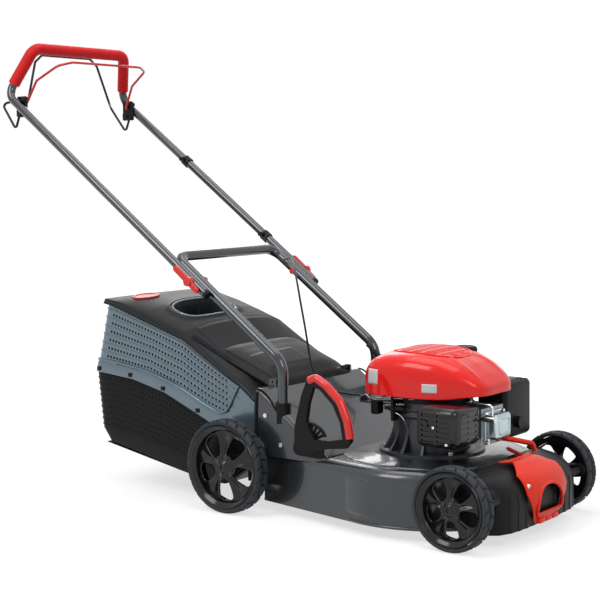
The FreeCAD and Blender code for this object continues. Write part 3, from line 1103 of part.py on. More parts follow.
def apronBlock(name, inset):
    """Plan outline of the front cover, padded up; the hollow copy is open below and behind."""
    grow = "+" + inset if inset else ""
    shrink = "-" + inset if inset else ""
    low = "apron_low" + ("-%g" % PIERCE if inset else "")
    nose = "rear_wheel_x + apron_nose" + shrink
    start = APRON_X + ("-%g" % PIERCE if inset else "")
    side = [(start, "apron_half" + shrink), (nose + "-30", "apron_half" + shrink),
            (nose + "-12", "apron_half-30" + shrink), (nose, "apron_half-96" + shrink)]
    return prism(name, "XY_Plane", [(x, flipped(y)) for x, y in side] + side[::-1],
                 "apron_high" + shrink + flipped(low)[1:], low)


def apronSlope(name, shrink):
    """Wedge that takes the front cover's top down towards its nose."""
    corners = [(APRON_X + "-10", "apron_high+6" + shrink), ("rear_wheel_x + apron_nose-46",
                                                            "apron_high-14" + shrink),
               ("rear_wheel_x + apron_nose+10", "apron_high-56" + shrink),
               ("rear_wheel_x + apron_nose+10", "apron_high+30"), (APRON_X + "-10", "apron_high+30")]
    return sideProfile(name, corners, "apron_half+10")


apron_outer = cut("apron_outer", apronBlock("apron_solid", ""), apronSlope("apron_slope", ""))
apron_inner = cut("apron_inner", apronBlock("apron_void", "apron_wall"), apronSlope("apron_slope_in",
                                                                                    "-apron_wall"))
apron_holes = [rod("apron_bar_hole", FRONT_PIVOT, "0-300", "front_pivot_z", "swing_tube_radius+2", "600",
                   "y"),
               block("apron_window", "rear_wheel_x + apron_nose-20", "0-44", "apron_low+24", "60", "88",
                     "34"),
               block("apron_rod_gap", APRON_X + "-4", "rod_plane_y-8", "front_pivot_z-front_pin_drop-20",
                     "40",
                     "20", "40"),
               block("apron_rod_window", "rear_wheel_x + apron_nose-60", "rod_plane_y-12",
                     "front_pivot_z-front_pin_drop-22", "80", "28", "48")]
clear_deck = "deck_radius+slack"
deck_gap = rod("apron_deck_gap", ENGINE, "0", "0", clear_deck, "deck_top+slack")
flange_gap = rod("apron_flange_gap", ENGINE, "0", "deck_top-1", "flange_radius+30", "40")
node(cut("apron_sheet", apron_outer, apron_inner, deck_gap, flange_gap, *apron_holes), "front_apron")
NOSE = "rear_wheel_x + front_handle_nose"
handle_face = sideProfile("front_handle_face", [
    (NOSE + "-13.7", "apron_low+4"), (NOSE + "-4", "apron_low+4"), (NOSE, "apron_low+26"),
    (NOSE + "-8", "apron_low+66"), (NOSE + "-40", "apron_high-24"), (NOSE + "-96", "apron_high+3"),
    (NOSE + "-96", "apron_high-1"), (NOSE + "-60", "apron_high-9"), (NOSE + "-20", "apron_low+68"),
    (NOSE + "-13.7", "apron_low+50")], "front_handle_half")
handle_window = block("handle_window", NOSE + "-30", "0-42", "apron_low+26", "60", "84", "30")
node(cut("front_handle_whole", handle_face, handle_window, apron_outer, deck_gap), "front_handle")

hoop_spots = [Vector(val(ENGINE + "+head_end") + dx, y, val("apron_high") + dz)
              for dx, y, dz in ((1.2, 34, 34), (20, 37, 33), (44, 97, 16), (46, 100, -1.4))]
bar_path = bentPath(hoop_spots, [20, 16])
node(solid("front_hoop", sweep(bar_path, 6.0)), "front_bar")

# ---------------------------------------------------------------- fasteners
bolts = []
for x, y in ((86, 62), (-86, 62), (86, -62), (-86, -62)):
    bolts.append(rod("flange_bolt_%d" % len(bolts), ENGINE + "+%g" % x, "%g" % y,
                     "deck_top+flange_thickness",
                     "6", "6"))
for x, z in ((30, 232), (74, 168)):
    for y in ("housing_half", "0-housing_half-4"):
        bolts.append(rod("plate_bolt_%d" % len(bolts), "rear_wheel_x + deck_rear_ahead+%g" % x, y, "%g" % z,
                         "5", "4", "y"))
for y in ("head_near+22", "head_far-22"):
    bolts.append(rod("head_bolt_%d" % len(bolts), ENGINE + "+head_end", y, "head_low+7", "5", "6", "x"))
node(bundle("bolt_set", *bolts), "bolts")

# ---------------------------------------------------------------- check and export
def finish():
    doc.recompute()
    failed = [obj.Label for obj in doc.Objects if {"Invalid", "Error"} & set(obj.State)]
    broken = [obj.Label for obj in nodes if obj.Shape.isNull() or not obj.Shape.isValid()]
    if failed or broken:
        raise RuntimeError("failed objects %s, broken shapes %s" % (failed, broken))
    os.makedirs("parts", exist_ok=True)
    for obj in nodes:
        obj.Shape.exportStep(os.path.join("parts", obj.Label + ".step"))
        print("%-20s %2d solids %12.0f mm3" % (obj.Label, len(obj.Shape.Solids), obj.Shape.Volume))


finish()
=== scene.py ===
import json
import math

import bmesh
import bpy
import numpy as np
from mathutils import Matrix, Vector


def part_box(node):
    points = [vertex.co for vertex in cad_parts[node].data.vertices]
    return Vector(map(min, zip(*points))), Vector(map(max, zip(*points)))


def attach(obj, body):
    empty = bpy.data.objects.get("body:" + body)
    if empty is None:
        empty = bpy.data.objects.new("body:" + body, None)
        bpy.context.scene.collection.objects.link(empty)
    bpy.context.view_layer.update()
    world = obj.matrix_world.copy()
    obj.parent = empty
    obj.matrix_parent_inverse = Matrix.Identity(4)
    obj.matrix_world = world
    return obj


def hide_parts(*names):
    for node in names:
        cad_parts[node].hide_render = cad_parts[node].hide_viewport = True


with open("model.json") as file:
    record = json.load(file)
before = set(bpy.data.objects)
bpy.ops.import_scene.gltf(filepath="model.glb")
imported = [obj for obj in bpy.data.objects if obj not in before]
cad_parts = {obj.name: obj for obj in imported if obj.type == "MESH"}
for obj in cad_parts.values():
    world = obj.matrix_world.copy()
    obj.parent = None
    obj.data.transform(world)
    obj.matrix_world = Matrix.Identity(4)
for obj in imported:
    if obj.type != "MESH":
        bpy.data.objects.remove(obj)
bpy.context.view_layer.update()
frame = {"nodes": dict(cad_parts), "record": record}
nodes = frame["nodes"]
mm = 0.001
rearAxle = (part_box("rear_near_tyre")[0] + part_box("rear_near_tyre")[1]) / 2 / mm
frontAxle = (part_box("front_near_tyre")[0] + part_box("front_near_tyre")[1]) / 2 / mm
bladeAxis = (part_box("flywheel")[0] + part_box("flywheel")[1]) / 2 / mm
print("frame loaded,", len(nodes), "nodes")


# ---- finishes: effects shared by the materials ----

def newGroup(name, inputs, outputs):
    # an empty shader group with number inputs and the named outputs
    group = bpy.data.node_groups.new(name, "ShaderNodeTree")
    for label, value in inputs.items():
        group.interface.new_socket(label, in_out="INPUT", socket_type="NodeSocketFloat").default_value = value
    for label in outputs:
        group.interface.new_socket(label, in_out="OUTPUT", socket_type="NodeSocketFloat")
    return group, group.nodes.new("NodeGroupInput"), group.nodes.new("NodeGroupOutput")


def mathNode(tree, operation, first, second=None, clamp=False):
    # one Math node; each side is a socket or a number
    node = tree.nodes.new("ShaderNodeMath")
    node.operation = operation
    node.use_clamp = clamp
    for i, side in enumerate((first, second)):
        if side is None:
            continue
        if isinstance(side, (int, float)):
            node.inputs[i].default_value = side
        else:
            tree.links.new(side, node.inputs[i])
    return node.outputs[0]


def noiseNode(tree, scale, detail, roughness=0.5):
    # object-space noise whose scale is a socket or a number
    place = tree.nodes.new("ShaderNodeTexCoord")
    noise = tree.nodes.new("ShaderNodeTexNoise")
    noise.inputs["Detail"].default_value = detail
    noise.inputs["Roughness"].default_value = roughness
    tree.links.new(place.outputs["Object"], noise.inputs["Vector"])
    if isinstance(scale, (int, float)):
        noise.inputs["Scale"].default_value = scale
    else:
        tree.links.new(scale, noise.inputs["Scale"])
    return noise.outputs["Fac"]


def makeGrain():
    # grain: fine noise as a height, and a coarse noise as a slow tone change
    group, given, out = newGroup("surfaceGrain", {"Scale": 900.0, "Tone scale": 9.0}, ("Height", "Tone"))
    group.links.new(noiseNode(group, given.outputs["Scale"], 3.0), out.inputs["Height"])
    group.links.new(noiseNode(group, given.outputs["Tone scale"], 4.0, 0.6), out.inputs["Tone"])
    return group


def makeEdgeWear():
    # edge wear: sharp outer edges, broken up by noise
    group, given, out = newGroup("edgeWear", {"Start": 0.55, "Amount": 1.0}, ("Mask",))
    geometry = group.nodes.new("ShaderNodeNewGeometry")
    edge = mathNode(group, "SUBTRACT", geometry.outputs["Pointiness"], given.outputs["Start"])
    edge = mathNode(group, "MULTIPLY", edge, 9.0, clamp=True)
    broken = mathNode(group, "MULTIPLY", edge, noiseNode(group, 60.0, 5.0, 0.7))
    group.links.new(mathNode(group, "MULTIPLY", broken, given.outputs["Amount"], clamp=True), out.inputs["Mask"])
    return group


def makeDust():
    # dust: settles on faces that look up, in soft blotches
    group, given, out = newGroup("fineDust", {"Amount": 0.2}, ("Mask",))
    geometry = group.nodes.new("ShaderNodeNewGeometry")
    split = group.nodes.new("ShaderNodeSeparateXYZ")
    group.links.new(geometry.outputs["Normal"], split.inputs[0])
    upward = mathNode(group, "MULTIPLY", split.outputs["Z"], 0.8, clamp=True)
    blotch = mathNode(group, "MULTIPLY", noiseNode(group, 35.0, 6.0, 0.65), upward)
    group.links.new(mathNode(group, "MULTIPLY", blotch, given.outputs["Amount"], clamp=True), out.inputs["Mask"])
    return group


def makeFlake():
    # metallic flake: tiny cells, each with its own brightness
    group, given, out = newGroup("metalFlake", {"Scale": 2600.0}, ("Flake",))
    place = group.nodes.new("ShaderNodeTexCoord")
    cells = group.nodes.new("ShaderNodeTexVoronoi")
    group.links.new(place.outputs["Object"], cells.inputs["Vector"])
    group.links.new(given.outputs["Scale"], cells.inputs["Scale"])
    split = group.nodes.new("ShaderNodeSeparateColor")
    group.links.new(cells.outputs["Color"], split.inputs[0])
    group.links.new(split.outputs[0], out.inputs["Flake"])
    return group


effects = {"grain": makeGrain(), "wear": makeEdgeWear(), "dust": makeDust(), "flake": makeFlake()}


def addEffect(tree, name, **values):
    node = tree.nodes.new("ShaderNodeGroup")
    node.node_tree = effects[name]
    for label, value in values.items():
        node.inputs[label.replace("_", " ")].default_value = value
    return node


def mixColour(tree, amount, first, second):
    # second laid over first by amount; each colour is a socket or three numbers
    node = tree.nodes.new("ShaderNodeMix")
    node.data_type = "RGBA"
    for socket, value in ((node.inputs["Factor"], amount), (node.inputs["A"], first), (node.inputs["B"], second)):
        if isinstance(value, tuple):
            socket.default_value = (*value, 1)
        elif isinstance(value, (int, float)):
            socket.default_value = value
        else:
            tree.links.new(value, socket)
    return node.outputs["Result"]


finishes = {
    # colour, roughness, metallic, clear coat, grain scale, grain depth in mm, tone spread, dust, edge wear
    "deckLacquer": dict(colour=(.022, .026, .031), rough=.27, metal=.35, coat=.6, grain=500, depth=.02,
                        tone=.2, dust=.01, wear=.2, flake=.25),
    "frameBlack": dict(gleam=.14, colour=(.009, .009, .010), rough=.42, grain=900, depth=.05, tone=.25, dust=.01,
                       wear=.2),
    "tubeLacquer": dict(colour=(.020, .024, .030), rough=.18, metal=.4, coat=.7, grain=700, depth=.004,
                        tone=.1, dust=.0, wear=.05),
    "castMetal": dict(colour=(.30, .31, .32), rough=.42, metal=.9, grain=1300, depth=.10, tone=.3, dust=.02, wear=.2),
    "crankcaseCoat": dict(colour=(.040, .043, .047), rough=.34, metal=.5, grain=1100, depth=.08, tone=.35,
                          dust=.02, wear=.8),
    "coverMetal": dict(colour=(.46, .54, .57), rough=.30, metal=.95, grain=1500, depth=.06, tone=.25,
                       dust=.0, wear=.3),
    "fineBlack": dict(gleam=.13, colour=(.007, .007, .008), rough=.38, grain=1500, depth=.05, tone=.2, dust=.01,
                      wear=.1),
    "glossBlack": dict(gleam=.2, colour=(.006, .006, .0065), rough=.18, coat=.3, grain=900, depth=.01, tone=.2,
                       dust=.0, wear=.08),
    "lidGrain": dict(gleam=.15, colour=(.011, .012, .014), rough=.46, grain=1000, depth=.14, tone=.25, dust=.01,
                     wear=.1),
    "boxSilver": dict(colour=(.105, .150, .185), rough=.26, metal=.4, coat=.5, grain=1500, depth=.02, tone=.15,
                      dust=.0, wear=.15, flake=.2),
    "treadRubber": dict(gleam=.2, colour=(.036, .041, .048), rough=.58, grain=1300, depth=.12, tone=.4, dust=.04,
                        wear=.1),
    "cowlRed": dict(gleam=.22, colour=(.84, .010, .006), rough=.24, coat=.25, grain=500, depth=.005, tone=.06,
                    dust=.0, wear=.03),
    "handleRed": dict(gleam=.18, colour=(.86, .030, .006), rough=.36, coat=.12, grain=1200, depth=.04, tone=.08,
                      dust=.0, wear=.03),
    "gripRed": dict(gleam=.2, colour=(.66, .012, .014), rough=.50, grain=1600, depth=.12, tone=.15, dust=.0,
                    wear=.03),
    "leverRed": dict(gleam=.3, colour=(.74, .016, .014), rough=.25, coat=.4, grain=900, depth=.01, tone=.1, dust=.0,
                     wear=.03),
    "indicatorRed": dict(gleam=.2, colour=(.46, .012, .010), rough=.36, coat=.15, grain=900, depth=.03, tone=.15,
                         dust=.0, wear=.03),
    "wireBlack": dict(gleam=.25, colour=(.006, .006, .0065), rough=.30, grain=900, depth=.01, tone=.2, dust=.0,
                      wear=.2),
    "wireRed": dict(gleam=.3, colour=(.66, .014, .014), rough=.28, coat=.3, grain=900, depth=.01, tone=.1, dust=.0,
                    wear=.1),
    "brightZinc": dict(colour=(.60, .61, .62), rough=.26, metal=1.0, grain=700, depth=.02, tone=.2, dust=.0,
                       wear=.1),
    "bladeSteel": dict(colour=(.20, .21, .22), rough=.40, metal=.9, grain=500, depth=.05, tone=.4, dust=.03, wear=.8),
    "plainRubber": dict(gleam=.12, colour=(.009, .009, .010), rough=.60, grain=1200, depth=.08, tone=.2, dust=.02,
                        wear=.1),
    "cableSheath": dict(gleam=.2, colour=(.008, .008, .009), rough=.42, grain=1200, depth=.03, tone=.2, dust=.01,
                        wear=.1),
    "blankLabel": dict(colour=(.62, .63, .63), rough=.45, grain=300, depth=.01, tone=.05, dust=.0, wear=.0),
}


def makeMaterial(name, colour, rough, metal=0.0, coat=0.0, grain=900, depth=.03, tone=.2, dust=.02, wear=.1,
                 flake=0.0, gleam=.5):
    # colour with slow tone changes, painted shade near black in sunk slots, holes and grooves, dust on top, lighter
    # worn edges; roughness follows the tone; grain as bump
    material = bpy.data.materials.new(name)
    material.use_nodes = True
    tree = material.node_tree
    shader = tree.nodes["Principled BSDF"]
    skin = addEffect(tree, "grain", Scale=float(grain))
    darker = tuple(c * (1 - tone) for c in colour)
    lighter = tuple(min(1, c * (1 + tone)) for c in colour)
    base = mixColour(tree, skin.outputs["Tone"], darker, lighter)
    if flake:
        spark = addEffect(tree, "flake").outputs["Flake"]
        strength = mathNode(tree, "MULTIPLY", mathNode(tree, "POWER", spark, 3.0), flake)
        base = mixColour(tree, strength, base, tuple(min(1, c * 2.6) for c in colour))
    # painted shade: points that the mesh attribute marks as sunk are mixed towards near black, standing in for the
    # shade inside slots, holes and grooves
    hollow = tree.nodes.new("ShaderNodeAttribute")
    hollow.attribute_name = "recessShade"
    base = mixColour(tree, hollow.outputs["Fac"], base, (.004, .004, .0045))
    if wear:
        edge = addEffect(tree, "wear", Amount=wear).outputs["Mask"]
        base = mixColour(tree, edge, base, tuple(min(1, c * 2.2 + .02) for c in colour))
    powder = addEffect(tree, "dust", Amount=dust).outputs["Mask"]
    base = mixColour(tree, powder, base, (.42, .40, .37))
    tree.links.new(base, shader.inputs["Base Color"])
    spread = mathNode(tree, "MULTIPLY_ADD", skin.outputs["Tone"], .16)
    spread.node.inputs[2].default_value = rough - .08
    settled = mathNode(tree, "MULTIPLY_ADD", powder, .5)
    tree.links.new(spread, settled.node.inputs[2])
    tree.links.new(settled, shader.inputs["Roughness"])
    shader.inputs["Metallic"].default_value = metal
    shader.inputs["Coat Weight"].default_value = coat
    shader.inputs["Coat Roughness"].default_value = .08
    shader.inputs["Specular IOR Level"].default_value = gleam
    bump = tree.nodes.new("ShaderNodeBump")
    bump.inputs["Distance"].default_value = depth * mm
    tree.links.new(skin.outputs["Height"], bump.inputs["Height"])
    tree.links.new(bump.outputs["Normal"], shader.inputs["Normal"])
    return material


materials = {name: makeMaterial(name, **values) for name, values in finishes.items()}
slotFinish = {
    "deck_paint": "deckLacquer", "frame_steel": "frameBlack", "tube_paint": "tubeLacquer", "casting": "castMetal",
    "crankcase": "crankcaseCoat", "cover_metal": "coverMetal", "black_plastic": "fineBlack",
    "lid_plastic": "lidGrain", "mid_plastic": "boxSilver", "rim_plastic": "glossBlack", "tread": "treadRubber",
    "cowl_red": "cowlRed", "handle_red": "handleRed", "grip_red": "gripRed", "lever_red": "leverRed",
    "bail_black": "wireBlack", "bail_red": "wireRed", "bright_steel": "brightZinc",
    "blade_steel": "bladeSteel", "rubber": "plainRubber", "cable_black": "cableSheath"}
for part in frame["record"]["subparts"]:
    owner = nodes[part["node"]]
    owner.data.materials.clear()
    owner.data.materials.append(materials[slotFinish[part["material_slot"]]])
print("materials placed on the frame's nodes")


# ---- surfaces ----

def gridQuads(rows, columns, closeRows, closeColumns):
    # corner numbers of the quads between neighbouring rows and columns
    i = np.arange(rows if closeRows else rows - 1)[:, None]
    j = np.arange(columns if closeColumns else columns - 1)[None, :]
    down, right = (i + 1) % rows, (j + 1) % columns
    corners = (i * columns + j, down * columns + j, down * columns + right, i * columns + right)
    return np.stack(np.broadcast_arrays(*corners), -1).reshape(-1, 4)


def grid(points, closeRows=False, closeColumns=False, keep=None, recessShade=None):
    # one sheet of a piece: points in mm on rows and columns, which of its quads to keep, and how much painted shade
    # each point takes
    points = np.asarray(points, float)
    rows, columns = points.shape[:2]
    quads = gridQuads(rows, columns, closeRows, closeColumns)
    if keep is not None:
        quads = quads[np.asarray(keep).reshape(-1)]
    # painted shade per point, 0 where none is painted
    depth = np.zeros(rows * columns) if recessShade is None else np.asarray(recessShade, float).reshape(-1)
    return points.reshape(-1, 3), quads, depth


def piece(name, sheets, body, slotName, finish=None, standsFor=(), wall=0.0, sharp=38, split=False):
    # joins sheets into one mesh, welds its seams and poles, turns its faces outwards and hangs it on a body
    starts = np.cumsum([0] + [len(points) for points, _, _ in sheets])
    points = np.concatenate([sheet[0] for sheet in sheets]) * mm
    quads = np.concatenate([sheet[1] + start for sheet, start in zip(sheets, starts)])
    mesh = bpy.data.meshes.new(name)
    mesh.from_pydata(points, [], quads.tolist())
    # per-point attribute that carries the painted shade of sunk slots, holes and grooves into the materials
    recessShade = mesh.attributes.new("recessShade", "FLOAT", "POINT")
    recessShade.data.foreach_set("value", np.concatenate([sheet[2] for sheet in sheets]).astype(np.float32))
    work = bmesh.new()
    work.from_mesh(mesh)
    bmesh.ops.remove_doubles(work, verts=work.verts, dist=1e-6)
    loose = [v for v in work.verts if not v.link_faces]
    bmesh.ops.delete(work, geom=loose, context="VERTS")
    if not split:
        bmesh.ops.recalc_face_normals(work, faces=work.faces)
    work.to_mesh(mesh)
    work.free()
    mesh.polygons.foreach_set("use_smooth", np.ones(len(mesh.polygons), bool))
    mesh.set_sharp_from_angle(angle=math.radians(sharp))
    obj = bpy.data.objects.new(name, mesh)
    bpy.context.scene.collection.objects.link(obj)
    mesh.materials.append(materials[finish or slotFinish[slotName]])
    if wall:
        shell = obj.modifiers.new("wall", "SOLIDIFY")
        shell.thickness = wall * mm
        shell.offset = -1
        shell.use_even_offset = True
    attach(obj, body)
    if standsFor:
        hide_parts(*standsFor)
    return obj


def turned(profile, centre, axis="y", count=96, start=0.0, sweep=2 * math.pi):
    # surface of revolution: (radius, along) pairs carried round an axis
    profile = np.asarray(profile, float)
    closed = sweep >= 2 * math.pi - 1e-6
    angle = start + np.linspace(0, sweep, count, endpoint=not closed)
    r, h = profile[:, 0][:, None], profile[:, 1][:, None]
    a, b = r * np.cos(angle), r * np.sin(angle)
    along = np.broadcast_to(h, a.shape)
    order = {"y": (a, along, b), "z": (a, b, along), "x": (along, a, b)}[axis]
    return grid(np.stack(order, -1) + np.asarray(centre, float), closeColumns=closed)


def roundBox(low, high, radius, steps=4, taper=None):
    # box with rounded edges: each eighth of a sphere stands at its own corner of a smaller box
    low, high = np.asarray(low, float), np.asarray(high, float)
    half = (high - low) / 2 - radius
    quarter = np.linspace(0, math.pi / 2, steps + 1)
    across = np.concatenate([quarter + k * math.pi / 2 for k in range(4)])
    signX = np.repeat([1, -1, -1, 1], steps + 1)
    signY = np.repeat([1, 1, -1, -1], steps + 1)
    rise = np.concatenate([quarter - math.pi / 2, quarter])[:, None]
    signZ = np.repeat([-1, 1], steps + 1)[:, None]
    x = signX * half[0] + radius * np.cos(rise) * np.cos(across)
    y = signY * half[1] + radius * np.cos(rise) * np.sin(across)
    z = signZ * half[2] + radius * np.sin(rise) * np.ones_like(across)
    points = np.stack([x, y, z], -1)
    capLow = np.broadcast_to([0, 0, z.min()], (1, len(across), 3))
    capHigh = np.broadcast_to([0, 0, z.max()], (1, len(across), 3))
    points = np.concatenate([capLow, points, capHigh])
    if taper is not None:
        points = taper(points)
    return grid(points + (low + high) / 2, closeColumns=True)


def pipe(path, radius, sides=12, ends=True):
    # round wire: circles square to the path, radius may change along it, and both ends closed
    path = np.asarray(path, float)
    ahead = np.gradient(path, axis=0)
    ahead /= np.linalg.norm(ahead, axis=1)[:, None]
    helper = np.eye(3)[np.argmin(np.abs(ahead).max(axis=0))]
    side = np.cross(ahead, helper)
    side /= np.linalg.norm(side, axis=1)[:, None]
    lift = np.cross(side, ahead)
    turn = np.linspace(0, 2 * math.pi, sides, endpoint=False)
    size = np.broadcast_to(np.asarray(radius, float), len(path))[:, None, None]
    ring = side[:, None] * np.cos(turn)[:, None] + lift[:, None] * np.sin(turn)[:, None]
    points = path[:, None] + ring * size
    if ends:
        first = np.broadcast_to(path[0], (1, sides, 3))
        last = np.broadcast_to(path[-1], (1, sides, 3))
        points = np.concatenate([first, points, last])
    return grid(points, closeColumns=True)


def smoothLine(spots, count):
    # smooth curve through a few spots: cubic through each coordinate against the chord length
    spots = np.asarray(spots, float)
    chord = np.concatenate([[0], np.cumsum(np.linalg.norm(np.diff(spots, axis=0), axis=1))])
    slope = np.gradient(spots, chord, axis=0)
    t = np.linspace(0, chord[-1], count)
    k = np.clip(np.searchsorted(chord, t, side="right") - 1, 0, len(spots) - 2)
    gap = (chord[k + 1] - chord[k])[:, None]
    s = ((t - chord[k])[:, None]) / gap
    return ((2 * s**3 - 3 * s**2 + 1) * spots[k] + (s**3 - 2 * s**2 + s) * gap * slope[k]
            + (3 * s**2 - 2 * s**3) * spots[k + 1] + (s**3 - s**2) * gap * slope[k + 1])


def smoothStep(value, low, high):
    t = np.clip((value - low) / (high - low), 0, 1)
    return t * t * (3 - 2 * t)


def slotLines(low, high, count, open_, lip):
    # grid lines across a row of slots, and 1 where the line lies inside a slot
    pitch = (high - low) / count
    start = low + pitch * (np.arange(count)[:, None] + .5)
    half = pitch * open_ / 2
    lines = start + np.array([-half, -half + lip, half - lip, half])
    inside = np.tile([0, 1, 1, 0], count)
    lines = np.concatenate([[low], lines.reshape(-1), [high]])
    return lines, np.concatenate([[0], inside, [0]])


# ---- camera ----

wheelX = rearAxle[0]
view = {"place": (wheelX + 2085.2, -2663.5, 778.5), "azimuth": 37.55, "pitch": 5.09, "roll": -.82,
        "focal": 83.79, "sensor": 36.0}


def makeCamera():
    azimuth, pitch, roll = (math.radians(view[key]) for key in ("azimuth", "pitch", "roll"))
    back = Vector((math.sin(azimuth) * math.cos(pitch), -math.cos(azimuth) * math.cos(pitch), math.sin(pitch)))
    right = Vector((math.cos(azimuth), math.sin(azimuth), 0))
    up = back.cross(right)
    side = right * math.cos(roll) + up * math.sin(roll)
    lift = up * math.cos(roll) - right * math.sin(roll)
    lens = bpy.data.cameras.new("mainView")
    lens.lens, lens.sensor_width = view["focal"], view["sensor"]
    camera = bpy.data.objects.new("mainView", lens)
    bpy.context.scene.collection.objects.link(camera)
    turn = Matrix((side, lift, back)).transposed().to_4x4()
    camera.matrix_world = Matrix.Translation(Vector(view["place"]) * mm) @ turn
    bpy.context.scene.camera = camera


makeCamera()


# ---- cords ----

cords = {
    "controlCable": dict(
        stands="control_cable", radius=2.6, length=.653, stiffness="medium", lay="hanging",
        spots=[(-150, 170.8, 560), (-112, 150, 569), (-62, 102, 567), (-6, 38, 548), (42, -14, 516), (74, -44, 474),
               (95, -58, 428), (108, -63, 380), (118, -65, 334), (140, -66, 298), (178, -65, 279), (220, -60, 273),
               (260.5, -52, 273)]),
    "starterRope": dict(
        stands="starter_rope", radius=1.8, length=.307, stiffness="limp", lay="taut", spots=[(181.1, 160.5, 315.9), (205.1, 146.5, 303.9),
                                                                           (257, 33.1, 343), (409, 33.1, 343)])}


def makeCord(name, stands, radius, length, stiffness, lay, spots):
    # smooth line whose control points are the route's points, from the rear axle in mm
    curve = bpy.data.curves.new(name, "CURVE")
    curve.dimensions = "3D"
    curve.bevel_depth = radius * mm
    curve.bevel_resolution = 4
    curve.resolution_u = 16
    curve.use_fill_caps = True
    line = curve.splines.new("NURBS")
    line.points.add(len(spots) - 1)
    for point, (x, y, z) in zip(line.points, spots):
        point.co = ((x + wheelX) * mm, y * mm, z * mm, 1)
    line.order_u = 3
    line.use_endpoint_u = True
    obj = bpy.data.objects.new(name, curve)
    bpy.context.scene.collection.objects.link(obj)
    curve.materials.append(materials["cableSheath"])
    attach(obj, "deck")
    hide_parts(stands)


for name, values in cords.items():
    makeCord(name, **values)
print("cords laid")




# ---- wheels ----

wheelLook = {"treadPitch": 30.0, "treadDepth": 4.2, "waves": .42, "spokes": 5, "rimShare": .9, "lip": 7.0,
             "dish": 15.0, "hubRadius": 13.0}


def makeTyre(node, body):
    # closed superellipse section carried round the axle; wavy grooves are pushed in on the tread side and painted
    # darker as shade
    low, high = (np.array(corner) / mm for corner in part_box(node))
    centre, radius, half = (low + high) / 2, (high[0] - low[0]) / 2, (high[1] - low[1]) / 2
    look = wheelLook
    count = round(2 * math.pi * radius / look["treadPitch"])
    inner = radius * look["rimShare"] - 2
    t = np.linspace(0, 2 * math.pi, 44, endpoint=False)[:, None]
    angle = np.linspace(0, 2 * math.pi, count * 20, endpoint=False)[None, :]
    corner = 2 / 4.5
    across = half * np.sign(np.cos(t)) * np.abs(np.cos(t)) ** corner
    lift = np.sign(np.sin(t)) * np.abs(np.sin(t)) ** corner
    wave = look["waves"] * (np.abs(across) / half) ** 1.2 + .5 * (across / half > 0)
    share = np.mod(angle * count / (2 * math.pi) + wave, 1)
    groove = smoothStep(.085 - np.abs(share - .5), 0, .045)
    tread = smoothStep(lift, .2, .8)
    centreRib = smoothStep(1.6 - np.abs(across), 0, 1) * tread
    cutDepth = look["treadDepth"] * tread * np.maximum(groove, centreRib)
    crown = 1.2 * (across / half) ** 2
    r = (radius + inner) / 2 + (radius - inner) / 2 * lift - tread * crown - cutDepth
    points = np.stack([r * np.cos(angle), np.broadcast_to(across, r.shape), r * np.sin(angle)], -1) + centre
    # painted shade in the grooves: the deeper the cut, the darker
    hollow = .85 * cutDepth / look["treadDepth"]
    piece(node.replace("_tyre", "Tread"), [grid(points, True, True, recessShade=hollow)], body, "tread",
          standsFor=[node], sharp=50)


